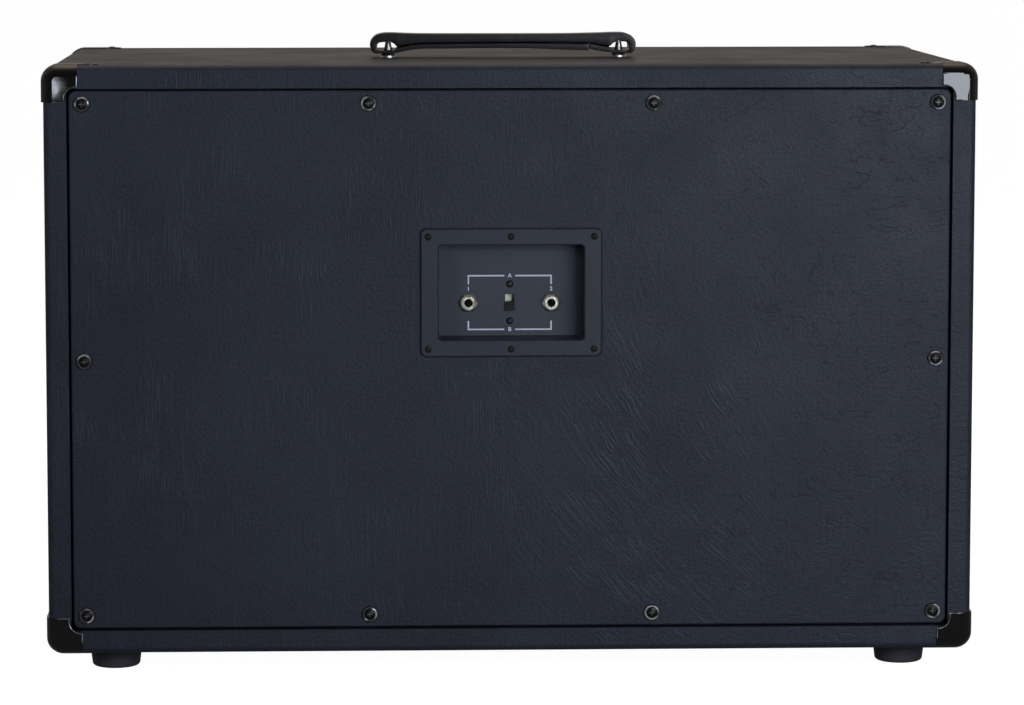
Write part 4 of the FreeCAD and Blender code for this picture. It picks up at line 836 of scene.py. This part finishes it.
class CABINET_OT_print(Operator):
    """Prints the brackets that pair the jacks, and plain figures"""
    bl_idname = "cabinet.print"
    bl_label = "Printed marks"

    def bracket(self, name, settings, half, height, way):
        """Half a bracket drawn out from its leg, then mirrored."""
        floor_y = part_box("jack_nuts")[1].y
        line = settings.line
        deselect()
        bpy.ops.mesh.primitive_plane_add(size=1, location=(0, 0, 0))
        item = added(name)
        corners = [(-half + side * line / 2, end) for end in (-way * settings.leg, 0) for side in (-1, 1)]
        for vertex, (x, z) in zip(item.data.vertices, corners):
            vertex.co = (x, floor_y, height + z)

        def draw_out(chosen, step):
            def has_chosen_ends(edge):
                return all(chosen(item.data.vertices[number].co) for number in edge.vertices)

            select_parts(item, "EDGE", has_chosen_ends)
            bpy.ops.mesh.extrude_region_move(TRANSFORM_OT_translate={"value": step})

        draw_out(lambda end: abs(end.z - height) < NEARNESS, (0, 0, way * line))
        draw_out(lambda end: abs(end.x + half - line / 2) < NEARNESS and way * (end.z - height) > -NEARNESS,
                 (half - line / 2 - settings.gap, 0, 0))
        turn_normals_out(item)
        apply_modifier(item, "MIRROR", use_axis=(True, False, False), use_clip=False)
        apply_modifier(item, "SOLIDIFY", thickness=settings.film, offset=0)
        return item

    def figure(self, name, body, settings, x, z):
        floor_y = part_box("jack_nuts")[1].y
        deselect()
        bpy.ops.object.text_add(location=(x, floor_y, z), rotation=(math.radians(90), 0, 0))
        text = bpy.context.object.data
        text.body = body
        text.align_x = text.align_y = "CENTER"
        text.size = settings.figure_height * TYPE_SIZE_SHARE
        text.extrude = settings.film / 2
        text.offset = settings.figure_height * TYPE_BOLD_SHARE
        bpy.ops.object.convert(target="MESH")
        item = added(name)
        select_only(item)
        bpy.ops.object.transform_apply(location=True, rotation=True, scale=True)
        return item

    def execute(self, context):
        settings = context.scene.cabinet_print
        ink = ink_finish(settings)
        low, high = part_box("jack_nuts")
        jack_z = (low.z + high.z) / 2
        left_low, left_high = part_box("left_jack")
        half = -(left_low.x + left_high.x) / 2
        upper_z = jack_z + settings.upper_rise
        lower_z = jack_z - settings.lower_drop
        number_z = jack_z + settings.figure_rise
        pieces = [
            self.bracket("upper_bracket_print", settings, half, upper_z, 1),
            self.bracket("lower_bracket_print", settings, half, lower_z, -1),
            self.figure("left_jack_number", "1", settings, -half, number_z),
            self.figure("right_jack_number", "2", settings, half, number_z),
            self.figure("upper_setting_letter", "A", settings, 0, upper_z + settings.line / 2),
            self.figure("lower_setting_letter", "B", settings, 0, lower_z - settings.line / 2),
        ]
        for piece in pieces:
            make_piece(piece, ink)
        return {"FINISHED"}


class CABINET_OT_handle(Operator):
    """Models the soft strap, folded round both loops, and plates its posts and ferrules"""
    bl_idname = "cabinet.handle"
    bl_label = "Strap handle"

    def execute(self, context):
        settings = context.scene.cabinet_handle
        low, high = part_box("handle_strap")
        top_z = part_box("shell_covering")[1].z
        half_length = (high.x - low.x) / 2
        height = high.z - top_z
        middle_y = (low.y + high.y) / 2
        width = high.y - low.y
        stations = [(x * half_length, top_z + z * height, thick * height)
                    for x, z, thick in STRAP_STATION_SHARES]
        line = smooth_stations(stations, settings.station_steps)
        deselect()
        bpy.ops.mesh.primitive_grid_add(x_subdivisions=len(line) - 1, y_subdivisions=settings.rows, size=1)
        strap = added("handle_strap_folded")
        deepest = max(spot.z for spot in line)
        group = strap.vertex_groups.new(name="thickness")
        for vertex in strap.data.vertices:
            station = round((vertex.co.x + 0.5) * (len(line) - 1))
            across = 2 * vertex.co.y
            spot = line[station]
            crown = 1 - STRAP_CROWN_SHARE * across ** STRAP_CROWN_POWER
            group.add([vertex.index], crown * spot.z / deepest, "REPLACE")
            vertex.co = (spot.x, middle_y + across * width / 2, spot.y)
        apply_modifier(strap, "SOLIDIFY", thickness=deepest, offset=-1, vertex_group="thickness")
        apply_modifier(strap, "BEVEL", width=settings.edge_round, segments=ROUND_SEGMENTS,
                       limit_method="ANGLE", angle_limit=STRAP_EDGE_ANGLE)
        ferrule_low, ferrule_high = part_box("handle_ferrules")
        radius = (ferrule_high.y - ferrule_low.y) / 2
        for way in (-1, 1):
            deselect()
            bpy.ops.mesh.primitive_cylinder_add(
                vertices=DRILL_SIDES, radius=DRILL_RADIUS_SHARE * radius, depth=DRILL_DEPTH_SHARE * height,
                location=(way * (ferrule_high.x - radius), middle_y, top_z))
            drill = added("post_drill")
            apply_modifier(strap, "BOOLEAN", object=drill, operation="DIFFERENCE", solver="EXACT")
            bpy.data.objects.remove(drill)
        select_only(strap)
        bpy.ops.object.shade_smooth_by_angle(angle=STRAP_SMOOTH)
        make_piece(strap, strap_finish(settings))
        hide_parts("handle_strap")
        nickel = plated_finish("handle_nickel", (0.86, 0.84, 0.80, 1.0), 0.28, 0.48)
        dress(nickel, "handle_bolts", "handle_ferrules")
        return {"FINISHED"}


class CABINET_OT_grille_cloth(Operator):
    """Stretches the woven cloth over the grille's frame"""
    bl_idname = "cabinet.grille_cloth"
    bl_label = "Grille cloth"

    @staticmethod
    def fold_over(over, fold):
        """How far out and back a point lies, once the cloth has turned round the frame's edge."""
        bend = fold * math.pi / 2
        if over <= bend:
            angle = over / fold
            return fold * math.sin(angle), fold * (1 - math.cos(angle))
        return fold, fold + over - bend

    def execute(self, context):
        settings = context.scene.cabinet_grille
        low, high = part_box("grille_cloth")
        middle = (low + high) / 2
        face = high - low
        skirt = face.y
        flat = (face.x + 2 * skirt, face.z + 2 * skirt)
        across = round(flat[0] / settings.mesh_step)
        down = round(flat[1] / settings.mesh_step)
        deselect()
        bpy.ops.mesh.primitive_grid_add(x_subdivisions=across, y_subdivisions=down, size=1)
        cloth = added("grille_cloth_stretched")
        cloth.data.uv_layers[0].name = "flat"
        fold = 2 * settings.thickness
        half_x = face.x / 2 - fold
        half_z = face.z / 2 - fold
        for vertex in cloth.data.vertices:
            u = vertex.co.x * flat[0]
            v = vertex.co.y * flat[1]
            out_x, back_x = self.fold_over(max(abs(u) - half_x, 0), fold)
            out_z, back_z = self.fold_over(max(abs(v) - half_z, 0), fold)
            x = math.copysign(min(abs(u), half_x) + out_x, u)
            z = math.copysign(min(abs(v), half_z) + out_z, v)
            vertex.co = (-(middle.x + x), high.y - max(back_x, back_z), middle.z + z)
        apply_modifier(cloth, "SOLIDIFY", thickness=settings.thickness, offset=-1)
        turn_normals_out(cloth)
        bpy.ops.object.shade_smooth_by_angle(angle=CLOTH_SMOOTH)
        make_piece(cloth, cloth_finish(settings, flat))
        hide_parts("grille_cloth")
        return {"FINISHED"}


class CABINET_OT_feet(Operator):
    """Finishes the rubber feet"""
    bl_idname = "cabinet.feet"
    bl_label = "Feet"

    def execute(self, context):
        settings = context.scene.cabinet_fittings
        rubber = moulding_finish("foot_rubber", settings.rubber, 0.7 * MILLIMETRE, 0.5, 0.68)
        dress(rubber, "rear_left_foot", "rear_right_foot", "front_left_foot", "front_right_foot")
        return {"FINISHED"}


class CABINET_OT_loudspeakers(Operator):
    """Finishes both loudspeakers and their leads"""
    bl_idname = "cabinet.loudspeakers"
    bl_label = "Loudspeakers"

    def execute(self, context):
        # Colour, fibre in millimetres and roughness of each mottled piece
        mottled = {
            "gasket": ("gasket_fibre", (0.10, 0.085, 0.07, 1.0), 1.2, 0.85),
            "magnet": ("ferrite", (0.035, 0.034, 0.034, 1.0), 2.5, 0.55),
            "cone": ("cone_paper", (0.030, 0.028, 0.026, 1.0), 3.0, 0.8),
            "dust_cap": ("cap_paper", (0.022, 0.021, 0.020, 1.0), 1.5, 0.7),
            "surround": ("surround_cloth", (0.014, 0.014, 0.014, 1.0), 0.9, 0.75),
            "spider": ("spider_cloth", (0.42, 0.30, 0.16, 1.0), 0.9, 0.85),
            "terminal_strip": ("terminal_board", (0.16, 0.10, 0.05, 1.0), 1.5, 0.6),
        }
        finishes = {name: paper_finish(label, colour, fibre * MILLIMETRE, rough)
                    for name, (label, colour, fibre, rough) in mottled.items()}
        finishes["basket"] = moulding_finish(
            "basket_paint", (0.018, 0.018, 0.020, 1.0), 0.6 * MILLIMETRE, 0.3, 0.45)
        finishes["speaker_lead"] = moulding_finish(
            "lead_sheath", (0.02, 0.02, 0.02, 1.0), 0.8 * MILLIMETRE, 0.4, 0.55)
        finishes["voice_coil"] = plated_finish("coil_copper", (0.72, 0.34, 0.18, 1.0), 0.2, 0.4)
        steel = plated_finish("plate_zinc", (0.55, 0.54, 0.50, 1.0), 0.28, 0.45)
        finishes["top_plate"] = finishes["yoke"] = steel
        for name, material in finishes.items():
            dress(material, f"left_{name}", f"right_{name}")
        return {"FINISHED"}


class CABINET_OT_stage(Operator):
    """Sets up the camera, lamps, surrounding light and floor"""
    bl_idname = "cabinet.stage"
    bl_label = "Stage"

    @staticmethod
    def softbox(name, place, aim, size, radiance, colour, shape="RECTANGLE", mirrored=True):
        """An area lamp given by the brightness of its face; gloss shows it if it is mirrored."""
        lamp = bpy.data.lights.new(name, "AREA")
        lamp.shape = shape
        lamp.size, lamp.size_y = size
        lamp.energy = radiance * math.pi * size[0] * size[1]
        lamp.color = colour
        item = bpy.data.objects.new(name, lamp)
        item.location = place
        item.rotation_euler = (Vector(aim) - Vector(place)).to_track_quat("-Z", "Y").to_euler()
        item.visible_camera = False
        item.visible_glossy = mirrored
        bpy.context.scene.collection.objects.link(item)

    @staticmethod
    def shown_rays(tree):
        """1 for the rays that show the background, by eye, in gloss or through glass."""
        light = add_node(tree, "LightPath").outputs
        return largest(light["Is Camera Ray"], light["Is Glossy Ray"], light["Is Transmission Ray"])

    def place_camera(self, scene, settings):
        camera = bpy.data.cameras.new("view_from_behind")
        camera.lens = settings.lens
        camera.shift_x = settings.shift_x
        camera.shift_y = settings.shift_y
        item = bpy.data.objects.new("view_from_behind", camera)
        item.location = settings.camera_place
        item.rotation_euler = settings.camera_turn
        scene.collection.objects.link(item)
        scene.camera = item

    def place_lamps(self):
        cool = (0.84, 0.90, 1.0)
        back = (0.0, -0.17, 0.25)
        self.softbox("right_softbox", (0.70, -1.70, 0.52), back, (0.8, 0.6), 16.0, cool)
        self.softbox("left_softbox", (-1.2, -1.8, 0.9), back, (0.6, 0.6), 12.4, cool, mirrored=False)
        self.softbox("glint_softbox", (-0.4954, -2.2, 0.3520), (-0.3482, -0.17, 0.4509), (0.023, 0.023),
                     18.0, cool, "ELLIPSE")
        for side, way in (("left", -1), ("right", 1)):
            self.softbox(f"front_{side}_softbox", (1.7 * way, 1.7, 1.05), (0.0, 0.0, 0.25), (1.2, 1.0),
                         9.0, (1.0, 0.92, 0.84), mirrored=False)
        self.softbox("overhead_softbox", (0.0, 0.4, 2.3), (0.0, 0.0, 0.4), (2.2, 1.4), 2.55,
                     (1.0, 0.84, 0.68))

    def light_surroundings(self, scene, settings):
        """White to the eye, and a dimmer backdrop ahead of the camera in gloss."""
        world = bpy.data.worlds.new("studio")
        world.use_nodes = True
        scene.world = world
        tree = world.node_tree
        ahead = axes(add_node(tree, "TexCoord").outputs["Generated"])["Y"]
        backdrop = remap(ahead, -0.3, 0.3, 0.10, 0.42)
        lit = feed("Mix", {0: self.shown_rays(tree), 2: settings.sky, 3: backdrop}).outputs[0]
        seen = add_node(tree, "LightPath").outputs["Is Camera Ray"]
        set_sockets(tree.nodes["Background"], {
            "Color": mix_colours(seen, WARM_WHITE, WHITE), "Strength": largest(lit, seen)})

    def lay_floor(self, settings):
        deselect()
        bpy.ops.mesh.primitive_plane_add(size=settings.floor_size)
        floor = added("studio_floor")
        material = bpy.data.materials.new("floor_white")
        material.use_nodes = True
        tree = material.node_tree
        seen = add_node(tree, "LightPath").outputs["Is Camera Ray"]
        share = remap(seen, 0.0, 1.0, settings.floor_gloss, settings.floor_glow)
        set_sockets(tree.nodes["Principled BSDF"], {
            "Base Color": (0.12, 0.12, 0.12, 1.0), "Roughness": 0.9, "Specular IOR Level": 0.0,
            "Emission Color": WHITE, "Emission Strength": product(self.shown_rays(tree), share)})
        floor.data.materials.append(material)

    def execute(self, context):
        settings = context.scene.cabinet_stage
        context.scene.view_settings.view_transform = "Standard"
        self.place_camera(context.scene, settings)
        self.place_lamps()
        self.light_surroundings(context.scene, settings)
        self.lay_floor(settings)
        return {"FINISHED"}


OPERATORS = (
    CABINET_OT_shared_effects, CABINET_OT_covering, CABINET_OT_woodwork, CABINET_OT_protectors,
    CABINET_OT_fasteners, CABINET_OT_jack_plate, CABINET_OT_print, CABINET_OT_handle,
    CABINET_OT_grille_cloth, CABINET_OT_feet, CABINET_OT_loudspeakers, CABINET_OT_stage,
)
GROUPS = {
    "cabinet_covering": CoveringSettings,
    "cabinet_handle": HandleSettings,
    "cabinet_grille": GrilleSettings,
    "cabinet_print": PrintSettings,
    "cabinet_fittings": FittingSettings,
    "cabinet_stage": StageSettings,
}


class CABINET_PT_sidebar(Panel):
    """Lists the cabinet's pieces in the order in which they are made"""
    bl_idname = "CABINET_PT_sidebar"
    bl_label = "Speaker cabinet"
    bl_space_type = "VIEW_3D"
    bl_region_type = "UI"
    bl_category = "Cabinet"

    def draw(self, context):
        for operator in OPERATORS:
            self.layout.operator(operator.bl_idname)
        for name, group in GROUPS.items():
            box = self.layout.box()
            settings = getattr(context.scene, name)
            for label in group.__annotations__:
                box.prop(settings, label)


def register():
    for item in (*GROUPS.values(), *OPERATORS, CABINET_PT_sidebar):
        bpy.utils.register_class(item)
    for name, group in GROUPS.items():
        setattr(bpy.types.Scene, name, PointerProperty(type=group))


def unregister():
    for name in GROUPS:
        delattr(bpy.types.Scene, name)
    for item in (CABINET_PT_sidebar, *OPERATORS, *GROUPS.values()):
        bpy.utils.unregister_class(item)


def main():
    register()
    for operator in OPERATORS:
        group, name = operator.bl_idname.split(".")
        getattr(getattr(bpy.ops, group), name)()


if __name__ == "__main__":
    main()
